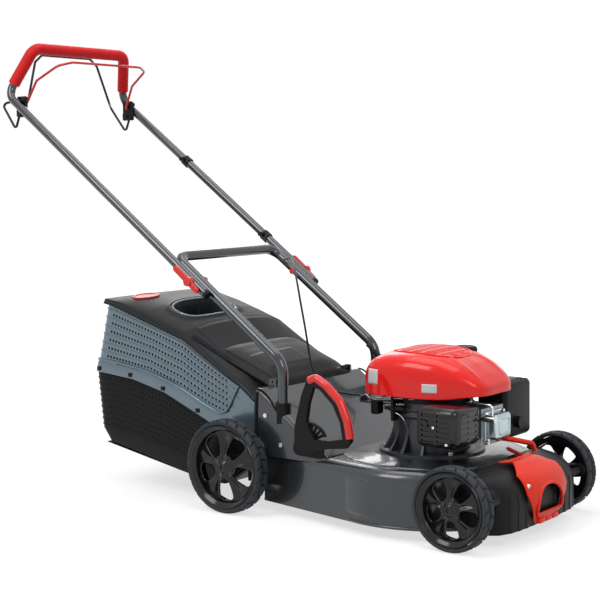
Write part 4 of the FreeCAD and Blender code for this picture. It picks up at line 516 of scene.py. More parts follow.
def makeRim(node, body, outward):
    # dished face whose columns alternate between spoke and window; the windows' quads are left out
    low, high = (np.array(corner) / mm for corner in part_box(node))
    centre, radius = (low + high) / 2, (high[0] - low[0]) / 2 - 1.0
    half = (high[1] - low[1]) / 2
    look = wheelLook
    hub, ring = look["hubRadius"], radius - look["lip"] - 6
    sheets = []
    rows = np.concatenate([[hub], np.linspace(hub + 3, ring, 26)])
    share = (rows - hub) / (ring - hub)
    spokeHalf = np.radians(12.5 + 9.5 * share**2)
    ends = smoothStep(share, .14, .34) * smoothStep(1 - share, .02, .16)
    windowHalf = math.pi / look["spokes"] - spokeHalf
    spokeHalf = spokeHalf + windowHalf * .96 * (1 - np.sqrt(ends))
    onSpoke, onWindow = np.linspace(-1, 1, 15), np.linspace(0, 1, 7)[1:-1]
    columns, valley = [], []
    for k in range(look["spokes"]):
        middle = 2 * math.pi * k / look["spokes"] + math.pi / 2
        columns.append(middle + spokeHalf[:, None] * onSpoke)
        valley.append(onSpoke)
        gap = 2 * math.pi / look["spokes"] - 2 * spokeHalf
        columns.append(middle + spokeHalf[:, None] + gap[:, None] * onWindow)
        valley.append(np.full(len(onWindow), 9.0))
    angle, valley = np.concatenate(columns, 1), np.concatenate(valley)
    ridge = np.where(np.abs(valley) <= 1, 5.6 * np.abs(np.sin(valley * math.pi * .5)) ** 1.5 - 3.2, 0)
    swell = (np.sin(np.clip(share, 0, 1) * math.pi) ** .8)[:, None]
    depth = look["dish"] * smoothStep(share, 0, .95)[:, None] ** .8 * .75 + 2 - ridge * swell
    y = outward * (half - 4 - depth)
    points = np.stack([rows[:, None] * np.cos(angle), y, rows[:, None] * np.sin(angle)], -1) + centre
    opening = np.repeat(((share[:-1] > .2) & (share[1:] < .93))[:, None], angle.shape[1], 1)
    inWindow = np.array([(abs(a) == 9 or a == 1) for a in valley])
    keep = ~(opening & inWindow[None, :])
    face = grid(points, closeColumns=True, keep=keep)
    piece(node.replace("_rim", "Spokes"), [face], body, "rim_plastic", wall=5.0, sharp=40)
    edge, back = outward * half, -outward * half
    lip = [(ring - 1, edge - outward * 20), (ring, edge - outward * 8), (ring + 3, edge - outward * 4.5),
           (radius - look["lip"] + 1, edge - outward * 3), (radius - look["lip"] + 3, edge - outward * .8),
           (radius - 4, edge), (radius - 1.5, edge - outward * .6), (radius, edge - outward * 2.5),
           (radius - .5, edge - outward * 6), (radius - 1.5, 0), (radius - 1.5, back + outward * 4),
           (radius - 3.5, back), (ring, back + outward * 1), (ring - 1, back + outward * 6), (ring - 1, 0)]
    sheets.append(turned(lip + lip[:1], centre, count=120))
    boss = [(0, edge - outward * 3.4), (5, edge - outward * 3.4), (5.6, edge - outward * 1.2),
            (8.2, edge - outward * .6), (10.4, edge - outward * 1.4), (hub, edge - outward * 4.5),
            (hub + 3.2, edge - outward * 7), (hub + 3.2, back + outward * 7), (hub, back + outward * 5),
            (0, back + outward * 5)]
    sheets.append(turned(boss, centre, count=60))
    piece(node.replace("_rim", "RimRing"), sheets, body, "rim_plastic", standsFor=[node], sharp=34)


for place in ("rear_near", "rear_far", "front_near", "front_far"):
    makeTyre(place + "_tyre", place + "_wheel")
    makeRim(place + "_rim", place + "_wheel", -1 if "near" in place else 1)
print("wheels made")


# ---- cowl ----

cowlLook = {"squareness": 5.0, "dome": 4.8, "nose": .30, "bottom": 291.0, "grilleHalf": (86, 78), "slots": (5, 15),
            "shell": 2.5}
cowlLow, cowlHigh = (np.array(corner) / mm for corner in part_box("cowl"))
cowlMid, cowlHalf = (cowlLow + cowlHigh) / 2, (cowlHigh - cowlLow) / 2
cowlTopSpots = np.array([(-153, 366), (-128, 376), (-90, 384), (-40, 386), (0, 385.5), (50, 378), (95, 362),
                         (128, 344), (153, 326)])


def cowlWidth(x):
    # half width along the machine: full at the back, drawn in towards the nose
    share = np.clip((x - cowlMid[0]) / cowlHalf[0], -1, 1)
    return cowlHalf[1] * (1 - cowlLook["nose"] * smoothStep(share, -.1, 1.15) - .06 * smoothStep(-share, .3, 1))


def cowlHeight(x, y):
    # height of the hood: a squarish dome over a squarish plan, under a top line that falls to the nose
    n, m = cowlLook["squareness"], cowlLook["dome"]
    across = np.abs((x - cowlMid[0]) / cowlHalf[0]) ** n + np.abs(y / cowlWidth(x)) ** n
    reach = np.clip(across ** (1 / n), 0, 1)
    top = np.interp(x - cowlMid[0], cowlTopSpots[:, 0], cowlTopSpots[:, 1])
    bottom = cowlLook["bottom"] + 9 * smoothStep(x - cowlMid[0], 60, 150)
    return bottom + (top - bottom) * (1 - reach**m) ** (1 / m), reach


def makeCowl():
    # rings of the plan shrink from the lower edge to the top; two soft creases run from the grille to the nose
    n, m = cowlLook["squareness"], cowlLook["dome"]
    rise = np.linspace(0, math.pi / 2, 40)[:, None]
    shrink = np.cos(rise) ** (2 / m)
    turn = np.linspace(0, 2 * math.pi, 180, endpoint=False)[None, :]
    planX = cowlHalf[0] * np.sign(np.cos(turn)) * np.abs(np.cos(turn)) ** (2 / n)
    planY = np.sign(np.sin(turn)) * np.abs(np.sin(turn)) ** (2 / n)
    x = cowlMid[0] + shrink * planX
    y = shrink * planY * cowlWidth(x)
    z, reach = cowlHeight(x, y)
    front = smoothStep(x - cowlMid[0], 20, 90)
    crease = np.exp(-((np.abs(y) - 34 - 20 * front) / 7) ** 2) + .7 * np.exp(-(y / 9) ** 2)
    z = z + 2.6 * crease * front * smoothStep(.97 - reach, 0, .2)
    band = np.exp(-((z - 306) / 4.5) ** 2) * smoothStep(reach, .9, 1)
    y = y * (1 - .012 * band)
    lower = np.stack([x[0], y[0], z[0] - 0], -1)[None]
    body = np.stack([x, y, z], -1)
    tuck = lower * 1.0
    tuck[..., 2] -= 2
    sheets = [grid(np.concatenate([tuck, body]), closeColumns=True)]
    piece("cowlHood", sheets, "deck", "cowl_red", standsFor=["cowl"], wall=cowlLook["shell"], sharp=60)


def makeGrille():
    # patch over the hood's top with rows of open slots: slot floors sink and are painted near black as the shade inside
    # the slots
    halfX, halfY = cowlLook["grilleHalf"]
    lengths, inLength = slotLines(-halfX + 6, halfX - 6, cowlLook["slots"][0], .80, 1.2)
    widths, inWidth = slotLines(-halfY + 6, halfY - 6, cowlLook["slots"][1], .60, 1.0)
    lengths = np.concatenate([[-halfX], lengths, [halfX]])
    widths = np.concatenate([[-halfY], widths, [halfY]])
    inLength, inWidth = np.pad(inLength, 1), np.pad(inWidth, 1)
    x, y = np.meshgrid(lengths, widths, indexing="ij")
    reach = ((np.abs(x) / halfX) ** 2.6 + (np.abs(y) / halfY) ** 2.6) ** (1 / 2.6)
    # open_ marks the slots whose floors sink and take painted shade
    open_ = np.outer(inLength, inWidth) * (reach < .93)
    scale = np.where(reach > 1, 1 / np.maximum(reach, 1e-6), 1)
    x, y = x * scale, y * scale
    x = x + cowlMid[0] - 18
    z, _ = cowlHeight(x, y)
    z = z + 1.6 - 3.2 * smoothStep(reach, .9, 1.0) - 6 * open_
    piece("cowlGrille", [grid(np.stack([x, y, z], -1), recessShade=open_)], "deck", "cowl_red", sharp=30)
    ringTurn = np.linspace(0, 2 * math.pi, 121)
    ringX = halfX * .97 * np.sign(np.cos(ringTurn)) * np.abs(np.cos(ringTurn)) ** (2 / 2.6) + cowlMid[0] - 18
    ringY = halfY * .97 * np.sign(np.sin(ringTurn)) * np.abs(np.sin(ringTurn)) ** (2 / 2.6)
    ringZ, _ = cowlHeight(ringX, ringY)
    piece("cowlGrilleBead", [pipe(np.stack([ringX, ringY, ringZ + .6], -1), 1.7, ends=False)], "deck", "cowl_red")


def makeLabel(name, x, width, z, height, body="deck"):
    # thin blank plate that follows the hood's near side
    u = np.linspace(-1, 1, 14)
    v = np.linspace(0, 1, 8)[:, None]
    xs = x + width / 2 * u[None, :] + 0 * v
    zs = z + height * v + 0 * xs
    ys = np.linspace(-cowlHalf[1], 0, 400)
    surface = np.array([[ys[np.argmax(cowlHeight(a, ys)[0] > b)] for a, b in zip(rowX, rowZ)]
                        for rowX, rowZ in zip(xs, zs)])
    piece(name, [grid(np.stack([xs, surface - .5, zs], -1))], body, "cowl_red", finish="blankLabel", wall=.6)


makeCowl()
makeGrille()
makeLabel("rearLabel", cowlLow[0] + 47, 32, 312, 34)
makeLabel("sideLabel", cowlLow[0] + 196, 34, 303, 20)
print("cowl made")


# ---- grass box ----

boxLook = {"half": 190.0, "corner": 26.0, "rows": 7, "holesPerSide": 37, "rearHoles": 28, "slotRows": 9,
           "rim": 5.0}
seamLine = np.array([(-484, 292), (-344, 280), (-237, 255), (-104, 201), (-40, 172), (20, 156), (86, 151)])
rimLine = np.array([(-484, 323), (-449, 321), (-289, 302), (-184, 271), (-93, 233), (-58, 223), (-20, 214), (86, 190)])
topLine = np.array([(-484, 474), (-437, 466), (-421, 462), (-180, 396), (-2, 301), (30, 278), (45, 266), (86, 262)])
floorLine = np.array([(-484, 112), (-450, 112), (-169, 62), (-78, 52), (-60, 52), (86, 151)])


def boxRing(sideX, rearY):
    # x, y and outward direction along the plan line for the given side and rear stations
    half, corner, rear = boxLook["half"], boxLook["corner"], wheelX - 484
    quarter = np.linspace(0, math.pi / 2, 9)
    side = wheelX + np.sort(np.asarray(sideX))[::-1]
    arcX, arcY = rear + corner * (1 - np.sin(quarter)), half - corner * (1 - np.cos(quarter))
    x = np.concatenate([side, arcX, np.full(len(rearY), rear), arcX[::-1], side[::-1]])
    y = np.concatenate([np.full(len(side), -half), -arcY, np.sort(rearY), arcY[::-1], np.full(len(side), half)])
    outX = np.concatenate([0 * side, -np.sin(quarter), -np.ones(len(rearY)), -np.sin(quarter)[::-1], 0 * side])
    outY = np.concatenate([0 * side - 1, -np.cos(quarter), 0 * rearY, np.cos(quarter)[::-1], 0 * side + 1])
    return x, y, outX, outY


def lean(z):
    # how far the rear wall stands ahead of its widest line at a height
    return np.interp(z, [112, 141, 292, 470], [34, 17, 0, 47])


def boxWall(sideX, rearY, lowLine, highLine, shares, push, recessShade=None):
    # wall between two side-view lines: shares of the height, pushed out along the outward direction, with the painted
    # shade per point passed on
    x, y, outX, outY = boxRing(sideX, rearY)
    low = np.interp(x - wheelX, lowLine[:, 0], lowLine[:, 1])
    high = np.interp(x - wheelX, highLine[:, 0], highLine[:, 1])
    z = low + (high - low) * np.asarray(shares)[:, None]
    back = np.clip((wheelX - 60 - x) / 420, 0, 1)
    px = x + lean(z) * back + outX * push
    py = y + outY * push
    return grid(np.stack([px, py, z], -1), recessShade=recessShade)


def makeBoxShell():
    # perforated panel: rows of square holes sink in between thin ridges that run the length of the box; the hole floors
    # are painted near black as the shade seen through the holes
    holeX, inX = slotLines(-446, -34, boxLook["holesPerSide"], .52, .5)
    sideX = np.concatenate([holeX, [-25, -10, 5, 25, 45, 66, 86]])
    inX = np.concatenate([inX, np.zeros(7)])
    rearY, inRear = slotLines(-150, 150, boxLook["rearHoles"], .42, .5)
    order = np.argsort(-sideX, kind="stable")
    ringHole = np.concatenate([inX[order], np.zeros(9), inRear, np.zeros(9), inX[order][::-1]])
    cutoff = np.interp(np.concatenate([-np.sort(-sideX)]), [-449, -60, -34, -12, 3], [0, 0, .1, .45, 1.1])
    ringCut = np.concatenate([cutoff, np.zeros(18 + len(rearY)), cutoff[::-1]])
    pitch = 1 / boxLook["rows"]
    shares, inShare, ridge = [0], [0], [0]
    for k in range(boxLook["rows"]):
        base = k * pitch
        for offset, hole, lift in ((.06, 0, 0), (.10, 0, 1), (.18, 0, 1), (.22, 0, 0), (.42, 0, 0), (.45, 1, 0),
                                   (.70, 1, 0), (.73, 0, 0)):
            shares.append(base + offset * pitch)
            inShare.append(hole)
            ridge.append(lift)
    shares, inShare, ridge = (np.array(v + [end]) for v, end in ((shares, 1), (inShare, 0), (ridge, 0)))
    hole = np.outer(inShare, ringHole) * (shares[:, None] > ringCut[None, :] + .04)
    line = np.outer(ridge, np.ones(len(ringHole))) * (shares[:, None] > ringCut[None, :])
    panel = smoothStep(shares[:, None] - ringCut[None, :], -.02, .02) * np.ones_like(hole)
    push = 2.6 * line - 5 * hole - 2.0 * panel
    # the holes' floors take the painted shade
    sheets = [boxWall(sideX, rearY, rimLine, topLine, shares, push, recessShade=hole)]
    bandShares = np.array([0, .04, .3, .6, .8, .9, 1.0])
    bandPush = np.array([1.5, 2.6, 2.6, 2.2, 1.6, 1.0, .0])[:, None] * np.ones(len(ringHole))
    sheets.append(boxWall(sideX, rearY, seamLine, rimLine, bandShares, bandPush))
    piece("boxPanels", sheets, "grass_box", "mid_plastic", standsFor=["box_shell"], wall=2.2, sharp=28)
    beads = []
    beadSpots = np.array([(-440, 321), (-400, 318), (-369, 314), (-289, 302), (-184, 271), (-93, 233), (-58, 223),
                          (-40, 228), (-26, 246), (-12, 272), (3, 296)])
    for side in (-1, 1):
        line = smoothLine(beadSpots, 90)
        y = np.full(len(line), side * (boxLook["half"] + .8))
        x = wheelX + line[:, 0] + lean(line[:, 1]) * np.clip((-60 - line[:, 0]) / 420, 0, 1)
        beads.append(pipe(np.stack([x, y, line[:, 1]], -1), 3.2))
    ringX, ringY, _, _ = boxRing(np.linspace(-458, -400, 4), np.linspace(-150, 150, 20))
    ringZ = np.interp(ringX - wheelX, rimLine[:, 0], rimLine[:, 1])
    ringX = ringX + lean(ringZ) * np.clip((wheelX - 60 - ringX) / 420, 0, 1) - .8
    beads.append(pipe(np.stack([ringX, ringY, ringZ], -1), 3.2))
    piece("boxPanelBeads", beads, "grass_box", "mid_plastic")
    clips = []
    for x, z in ((-458, 300), (-350, 291), (-240, 266), (-128, 222)):
        for side in (-1, 1):
            low = (wheelX + x - 6, side * 193 - 2.2, z - 5)
            high = (wheelX + x + 6, side * 193 + 2.2, z + 5)
            clips.append(roundBox(low, high, 1.2, 2))
    piece("boxClips", clips, "grass_box", "black_plastic")


def makeBoxTub():
    # ribbed tub: raised ribs with a row of small slots between each pair, plain below; slot floors painted dark as
    # shade
    slotX, inX = slotLines(-440, -90, 30, .40, .6)
    sideX = np.concatenate([slotX, [-60, -30, 0, 30, 60, 86]])
    inX = np.concatenate([inX, np.zeros(6)])
    rearY, inRear = slotLines(-150, 150, 24, .40, .6)
    order = np.argsort(-sideX, kind="stable")
    ringSlot = np.concatenate([inX[order], np.zeros(9), inRear, np.zeros(9), inX[order][::-1]])
    count = boxLook["slotRows"]
    shares, inShare, ridge = [0, .02, .2], [0, 0, 0], [0, 0, 0]
    for k in range(count):
        base, pitch = .24 + k * .74 / count, .74 / count
        for offset, hole, lift in ((.0, 0, 0), (.08, 0, 1), (.26, 0, 1), (.34, 0, 0), (.58, 0, 0), (.61, 1, 0),
                                   (.74, 1, 0), (.77, 0, 0)):
            shares.append(base + offset * pitch)
            inShare.append(hole)
            ridge.append(lift)
    shares, inShare, ridge = (np.array(v + [end]) for v, end in ((shares, 1), (inShare, 0), (ridge, 0)))
    hole = np.outer(inShare, ringSlot)
    push = 1.7 * np.outer(ridge, np.ones(len(ringSlot))) - 3 * hole - 2.4
    curl = 7 * (1 - smoothStep(shares, 0, .10))[:, None]
    # slot floors take the painted shade at 0.8 strength
    sheets = [boxWall(sideX, rearY, floorLine, seamLine, shares, push - curl, recessShade=.8 * hole)]
    x = np.linspace(-452, 60, 60)
    y = np.linspace(-180, 180, 12)
    gx, gy = np.meshgrid(x, y, indexing="ij")
    z = np.interp(gx, floorLine[:, 0], floorLine[:, 1]) + .3
    sheets.append(grid(np.stack([gx + wheelX + 4, gy, z], -1)))
    piece("boxTub", sheets, "grass_box", "black_plastic", standsFor=["box_tub"], wall=2.2, sharp=28)


makeBoxShell()
makeBoxTub()
print("grass box walls made")


def makeBoxLid():
    # lid over the box: edge line plus a crown that swells behind the carrying hollow; hollow and side channel sink and
    # are painted darker as shade
    x = np.concatenate([np.linspace(-484, -330, 34), np.linspace(-326, -198, 46), np.linspace(-194, 66, 56)])
    y = np.concatenate([np.linspace(-193, -140, 22), np.linspace(-136, 136, 70), np.linspace(140, 193, 22)])
    gx, gy = np.meshgrid(x, y, indexing="ij")
    edge = np.interp(gx, topLine[:, 0], topLine[:, 1])
    swell = np.interp(gx, [-484, -455, -400, -323, -240, -150, -60, 66], [2, 9, 24, 34, 34, 25, 14, 6])
    side = np.clip(np.abs(gy) / 193, 0, 1)
    z = edge + 3 + swell * (1 - side**2.6) ** .75
    z -= 10 * smoothStep(side, .965, 1.0)
    hollow = (np.abs((gx + 262) / 52) ** 3 + np.abs((gy + 32) / 93) ** 3) ** (1 / 3)
    rim = np.exp(-((hollow - 1.12) / .10) ** 2)
    sunk = 1 - smoothStep(hollow, .90, 1.0)
    z = z + 4.0 * rim * (gx > -500) - 46 * sunk
    channel = smoothStep(8 - np.abs(gy + 176 - .22 * (gx + 160)), 0, 4) * smoothStep(gx, -158, -152) * smoothStep(58 - gx, 0, 6)
    z -= 22 * channel
    step = smoothStep(gx, -176, -168) * smoothStep(150 - np.abs(gy), 0, 6)
    texture = (smoothStep(gx, -50, -46) * smoothStep(-20 - gx, 0, 4) * smoothStep(gy, -92, -88)
               * smoothStep(110 - gy, 0, 4))
    z += 3.5 * step - 1.6 * texture
    back = np.clip((-60 - gx) / 420, 0, 1)
    px = gx + wheelX + lean(z) * back
    # painted shade: darker in the carrying hollow, darkest in the side channel
    sheet = grid(np.stack([px, gy, z], -1), recessShade=np.clip(.55 * sunk + .9 * channel, 0, 1))
    piece("boxLid", [sheet], "grass_box", "lid_plastic", standsFor=["box_lid"], wall=3.0, sharp=50)
    turn = np.linspace(0, 2 * math.pi, 121)
    rx = -262 + 53 * np.sign(np.cos(turn)) * np.abs(np.cos(turn)) ** (2 / 3)
    ry = -32 + 95 * np.sign(np.sin(turn)) * np.abs(np.sin(turn)) ** (2 / 3)
    rz = lidHeight(rx, ry) + .6
    rim = pipe(np.stack([rx + wheelX + lean(rz) * np.clip((-60 - rx) / 420, 0, 1), ry, rz], -1), 2.6, ends=False)
    piece("lidHollowBead", [rim], "grass_box", "mid_plastic")
    edges = []
    for side in (-1, 1):
        ex = np.linspace(-478, 60, 100)
        ez = np.interp(ex, topLine[:, 0], topLine[:, 1]) - 3.0
        line = np.stack([ex + wheelX + lean(ez) * np.clip((-60 - ex) / 420, 0, 1), 0 * ex + side * 192.5, ez], -1)
        edges.append(pipe(line, 3.4))
    piece("lidEdgeBeads", edges, "grass_box", "lid_plastic")


def lidHeight(x, y):
    # height of the lid without its hollow and channel
    swell = np.interp(x, [-484, -455, -400, -323, -240, -150, -60, 66], [2, 9, 24, 34, 34, 25, 14, 6])
    side = np.clip(np.abs(y) / 193, 0, 1)
    return np.interp(x, topLine[:, 0], topLine[:, 1]) + 3 + swell * (1 - side**2.6) ** .75


def makeIndicator():
    # tear-shaped red flap with a raised rim, lying on the lid
    turn = np.linspace(0, 2 * math.pi, 72, endpoint=False)[None, :]
    r = np.linspace(0, 1, 14)[:, None]
    x = -414 + 33 * r * np.cos(turn) * (1 + .25 * np.sin(turn))
    y = -106 + 42 * r * np.sin(turn)
    z = lidHeight(x, y) + 1.0 + 2.6 * smoothStep(r, .80, .86) * (1 - smoothStep(r, .94, 1)) - 3 * smoothStep(r, .96, 1)
    px = x + wheelX + lean(z) * np.clip((-60 - x) / 420, 0, 1)
    piece("fillIndicator", [grid(np.stack([px, y, z], -1), closeColumns=True)], "fill_indicator", "lever_red",
          finish="indicatorRed", standsFor=["fill_indicator"], wall=1.5)


def makeFlap():
    # domed cover: a curved side profile carried across, crowned in the middle, with a short skirt at the hinge
    hinge = (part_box("rear_flap")[1] / mm)[0] - 7
    profile = smoothLine([(12, 279), (12, 292), (8, 305), (-6, 312), (-60, 333), (-120, 357), (-158, 371), (-170, 371),
                          (-173, 362)], 70)
    y = np.concatenate([np.linspace(-150, -128, 10), np.linspace(-124, 124, 60), np.linspace(128, 150, 10)])
    across = y[None, :] / 150
    crown = (1 - np.abs(across) ** 4) ** .6
    along = np.linspace(0, 1, 70)[:, None]
    x = hinge + profile[:, :1] + 0 * across
    lift = 15 * crown * np.sin(np.clip(along, 0, 1) * math.pi) ** .5
    z = profile[:, 1:] - 14 + lift + 8 * crown * smoothStep(along, .1, .3)
    z -= 12 * smoothStep(np.abs(across), .9, 1.0) * smoothStep(along, .1, .2)
    panel = smoothStep(1 - np.abs(across + .25) / .55, 0, .06) * smoothStep(along, .30, .33) * smoothStep(.62 - along, 0, .03)
    z += 1.6 * panel
    piece("rearFlapCover", [grid(np.stack([x, y[None, :] + 0 * x, z], -1))], "rear_flap", "black_plastic",
          standsFor=["rear_flap"], wall=3.0, sharp=50)
    knuckles = [turned([(0, -12), (6, -12), (6, 12), (0, 12)], (hinge + 0, side * 134, 302), count=32)
                for side in (-1, 1)]
    piece("flapKnuckles", knuckles, "rear_flap", "black_plastic")


def slotPatch(middle, alongU, alongV, halfU, halfV, counts, open_=(.75, .5), depth=4.0, proud=1.5, power=6.0):
    # raised rounded patch with rows of sunk slots whose floors are painted near black as shade, on two directions
    # through its middle
    out = np.cross(alongU, alongV)
    u, inU = slotLines(-halfU * .9, halfU * .9, counts[0], open_[0], .8)
    v, inV = slotLines(-halfV * .9, halfV * .9, counts[1], open_[1], .8)
    u, v = np.concatenate([[-halfU, -halfU * .96], u, [halfU * .96, halfU]]), np.concatenate([[-halfV, -halfV * .96], v, [halfV * .96, halfV]])
    inU, inV = np.pad(inU, 2), np.pad(inV, 2)
    gu, gv = np.meshgrid(u, v, indexing="ij")
    reach = (np.abs(gu / halfU) ** power + np.abs(gv / halfV) ** power) ** (1 / power)
    scale = np.where(reach > 1, 1 / reach, 1)
    sunk = np.outer(inU, inV)
    height = proud * (1 - 2 * smoothStep(reach, .955, 1.0)) - depth * sunk
    points = (np.asarray(middle, float) + (gu * scale)[..., None] * np.asarray(alongU, float)
              + (gv * scale)[..., None] * np.asarray(alongV, float) + height[..., None] * out)
    return grid(points, recessShade=sunk)


def boxOf(node):
    low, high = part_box(node)
    return np.array(low) / mm, np.array(high) / mm


def makeSilencer():
    # deep round-edged guard with a slotted face, a screw boss and louvres at the front
    low, high = boxOf("muffler")
    low = np.array([low[0], low[1] + 2, low[2]])
    shell = [roundBox(low, (high[0], high[1] - 8, high[2] - 2), 17, 6)]
    mid = (low + high) / 2
    face = slotPatch((mid[0] + 2, low[1], mid[2] - 1), (1, 0, 0), (0, 0, 1), 42, 36, (2, 6), (.86, .50), 6, 2.8)
    shell.append(face)
    shell.append(slotPatch((high[0], mid[1] - 6, mid[2] - 1), (0, 1, 0), (0, 0, 1), 36, 34, (2, 5), (.84, .48), 6, 1.2))
    for x, z in ((mid[0] - 26, mid[2] + 6), (mid[0] - 2, mid[2] + 1)):
        size = 9.5 if x < mid[0] - 10 else 4.5
        disc = [(0, -1.5), (size * .55, -1.5), (size * .6, -4.2), (size, -4.2), (size + 1, -2), (size + 1, 4), (0, 4)]
        shell.append(turned(disc, (x, low[1], z), count=36))
    piece("silencerGuard", shell, "deck", "frame_steel", finish="glossBlack", standsFor=["muffler"], sharp=32)
    bolts = [turned([(0, -4.5), (3, -4.5), (3.6, -3.6), (3.6, 2), (0, 2)], (x, low[1], z), count=16)
             for x, z in ((mid[0] - 2, mid[2] + 1), (high[0] - 22, low[2] + 12))]
    piece("guardScrews", bolts, "deck", "bright_steel")


def makeAirBox():
    # round-edged box with a ribbed band round its front edge
    low, high = boxOf("air_filter_box")
    sheets = [roundBox(low + 1, (high[0] - 16, high[1], high[2]), 9, 5),
              roundBox((high[0] - 20, low[1], low[2]), high, 12, 6)]
    turn = np.linspace(0, 2 * math.pi, 220, endpoint=False)
    half = (high - low) / 2
    mid = (high + low) / 2
    for shift, size in ((-21, 2.4), (-13, 2.0)):
        y = mid[1] + (half[1] - 1) * np.sign(np.cos(turn)) * np.abs(np.cos(turn)) ** .28
        z = mid[2] + (half[2] - 1) * np.sign(np.sin(turn)) * np.abs(np.sin(turn)) ** .28
        rib = size + .8 * np.sign(np.sin(turn * 44))
        line = np.stack([0 * y + high[0] + shift, y, z], -1)
        sheets.append(pipe(np.concatenate([line, line[:1]]), np.concatenate([rib, rib[:1]]), sides=8, ends=False))
    piece("airFilterCase", sheets, "deck", "black_plastic", standsFor=["air_filter_box"], sharp=36)


def makeHeadDetails():
    # cooling ribs round the head, a raised frame on the valve cover and its four screws
    low, high = boxOf("cylinder_head")
    ribs = []
    for z in np.arange(low[2] + 8, high[2] - 10, 9):
        ribs.append(roundBox((low[0] + 4, low[1] - 3.5, z), (high[0] - 12, high[1] + 3, z + 3), 1.2, 2))
    piece("headRibs", ribs, "deck", "casting")
    low, high = boxOf("valve_cover")
    sheets = [roundBox((low[0] + 2, low[1], low[2]), high, 8, 5)]
    mid, half = (low + high) / 2, (high - low) / 2
    turn = np.linspace(0, 2 * math.pi, 120)
    y = mid[1] + (half[1] - 11) * np.sign(np.cos(turn)) * np.abs(np.cos(turn)) ** .35
    z = mid[2] + (half[2] - 11) * np.sign(np.sin(turn)) * np.abs(np.sin(turn)) ** .35
    sheets.append(pipe(np.stack([0 * y + high[0], y, z], -1), 1.8, ends=False))
    sheets.append(roundBox((low[0] - 3, low[1] - 5, low[2] - 5), (low[0] + 5, high[1] + 5, high[2] + 5), 2, 3))
    piece("valveCover", sheets, "deck", "cover_metal", standsFor=["valve_cover"], sharp=34)
    screws = []
    for sy in (-1, 1):
        for sz in (-1, 1):
            spot = (low[0] + 5, mid[1] + sy * (half[1] + .5), mid[2] + sz * (half[2] + .5))
            screws.append(turned([(0, 6), (3.4, 6), (4.2, 5), (4.2, 0), (0, 0)], spot, "x", 6))
    piece("coverScrews", screws, "deck", "bright_steel")


def makeSpring(start, end, coil, wire, turns):
    # helix between two points, with straight tails
    start, end = np.asarray(start, float), np.asarray(end, float)
    t = np.linspace(0, 1, turns * 14)
    ahead = (end - start) / np.linalg.norm(end - start)
    side = np.cross(ahead, (0, 0, 1.0))
    side /= np.linalg.norm(side)
    lift = np.cross(side, ahead)
    size = coil * smoothStep(t, .06, .12) * smoothStep(1 - t, .06, .12)
    path = (start + t[:, None] * (end - start) + (size * np.cos(t * turns * 2 * math.pi))[:, None] * side
            + (size * np.sin(t * turns * 2 * math.pi))[:, None] * lift)
    return pipe(path, wire, sides=6)


def makeEngineDetails():
    # cast ribs from the crankcase down to its flange, governor links and springs below the hood
    low, high = boxOf("engine_block")
    centre = np.array([bladeAxis[0], bladeAxis[1], 0])
    ribs = []
    for degrees in (-172, -140, -118, -96, -70, 60, 90, 120, 150, 180):
        a = math.radians(degrees)
        out = np.array([math.cos(a), math.sin(a), 0])
        side = np.array([-out[1], out[0], 0])
        v = np.linspace(0, 1, 14)[:, None]
        reach = 86 + 26 * (1 - v) ** 2.2
        z = 162 + v * 74
        rows = []
        for depth, width in ((84, 4.5), (None, 4.2), (None, 2.6), (None, -2.6), (None, -4.2), (84, -4.5)):
            inset = 0 if abs(width) < 3 else 1.6
            r = reach * 0 + depth if depth else reach - inset
            rows.append(centre + r[..., None] * out + width * side + z[..., None] * np.array([0, 0, 1.0]))
        ribs.append(grid(np.concatenate(rows, 1)))
    drum = [(80, 236), (92, 238), (95, 242), (95, 249), (92, 253), (84, 256)]
    ribs.append(turned(drum, centre, "z", 96))
    ribs.append(turned([(60, 166), (112, 162), (117, 159), (119, 157), (119, 150)], centre, "z", 120))
    piece("crankcaseRibs", ribs, "deck", "crankcase", sharp=30)
    x, y = bladeAxis[0], -104
    links = [makeSpring((x - 96, y + 4, 276), (x - 34, y + 2, 280), 4.0, .9, 15),
             makeSpring((x - 70, y + 16, 262), (x - 10, y + 6, 270), 3.2, .8, 14)]
    rods = [[(x - 122, y + 26, 268), (x - 92, y + 2, 279), (x - 30, y - 2, 284), (x + 12, y + 10, 283)],
            [(x - 110, y + 40, 258), (x - 60, y + 8, 256), (x - 14, y + 4, 240), (x - 8, y + 16, 214)],
            [(x - 134, y + 34, 279), (x - 100, y + 14, 272), (x - 62, y + 2, 284), (x + 2, y + 4, 288)]]
    links += [pipe(smoothLine(spots, 40), 1.5, sides=8) for spots in rods]
    piece("governorLinks", links, "deck", "bright_steel")
    plates = [roundBox((x - 118, y + 14, 271), (x - 40, y + 40, 274.5), 1.5, 2),
              roundBox((x - 40, y - 6, 232), (x - 33, y + 18, 286), 2.2, 2),
              roundBox((x - 60, y - 2, 256), (x - 8, y + 3, 264), 2, 2),
              roundBox((x - 104, y + 8, 240), (x - 84, y + 34, 274), 4, 3)]
    piece("governorPlates", plates, "deck", "frame_steel")
    low, high = boxOf("front_bar")
    spring = makeSpring((low[0] - 2, 56, 166), (high[0] + 4, 34, 157), 3.6, 1.0, 20)
    piece("frontSpring", [spring], "deck", "bright_steel", finish="wireRed")


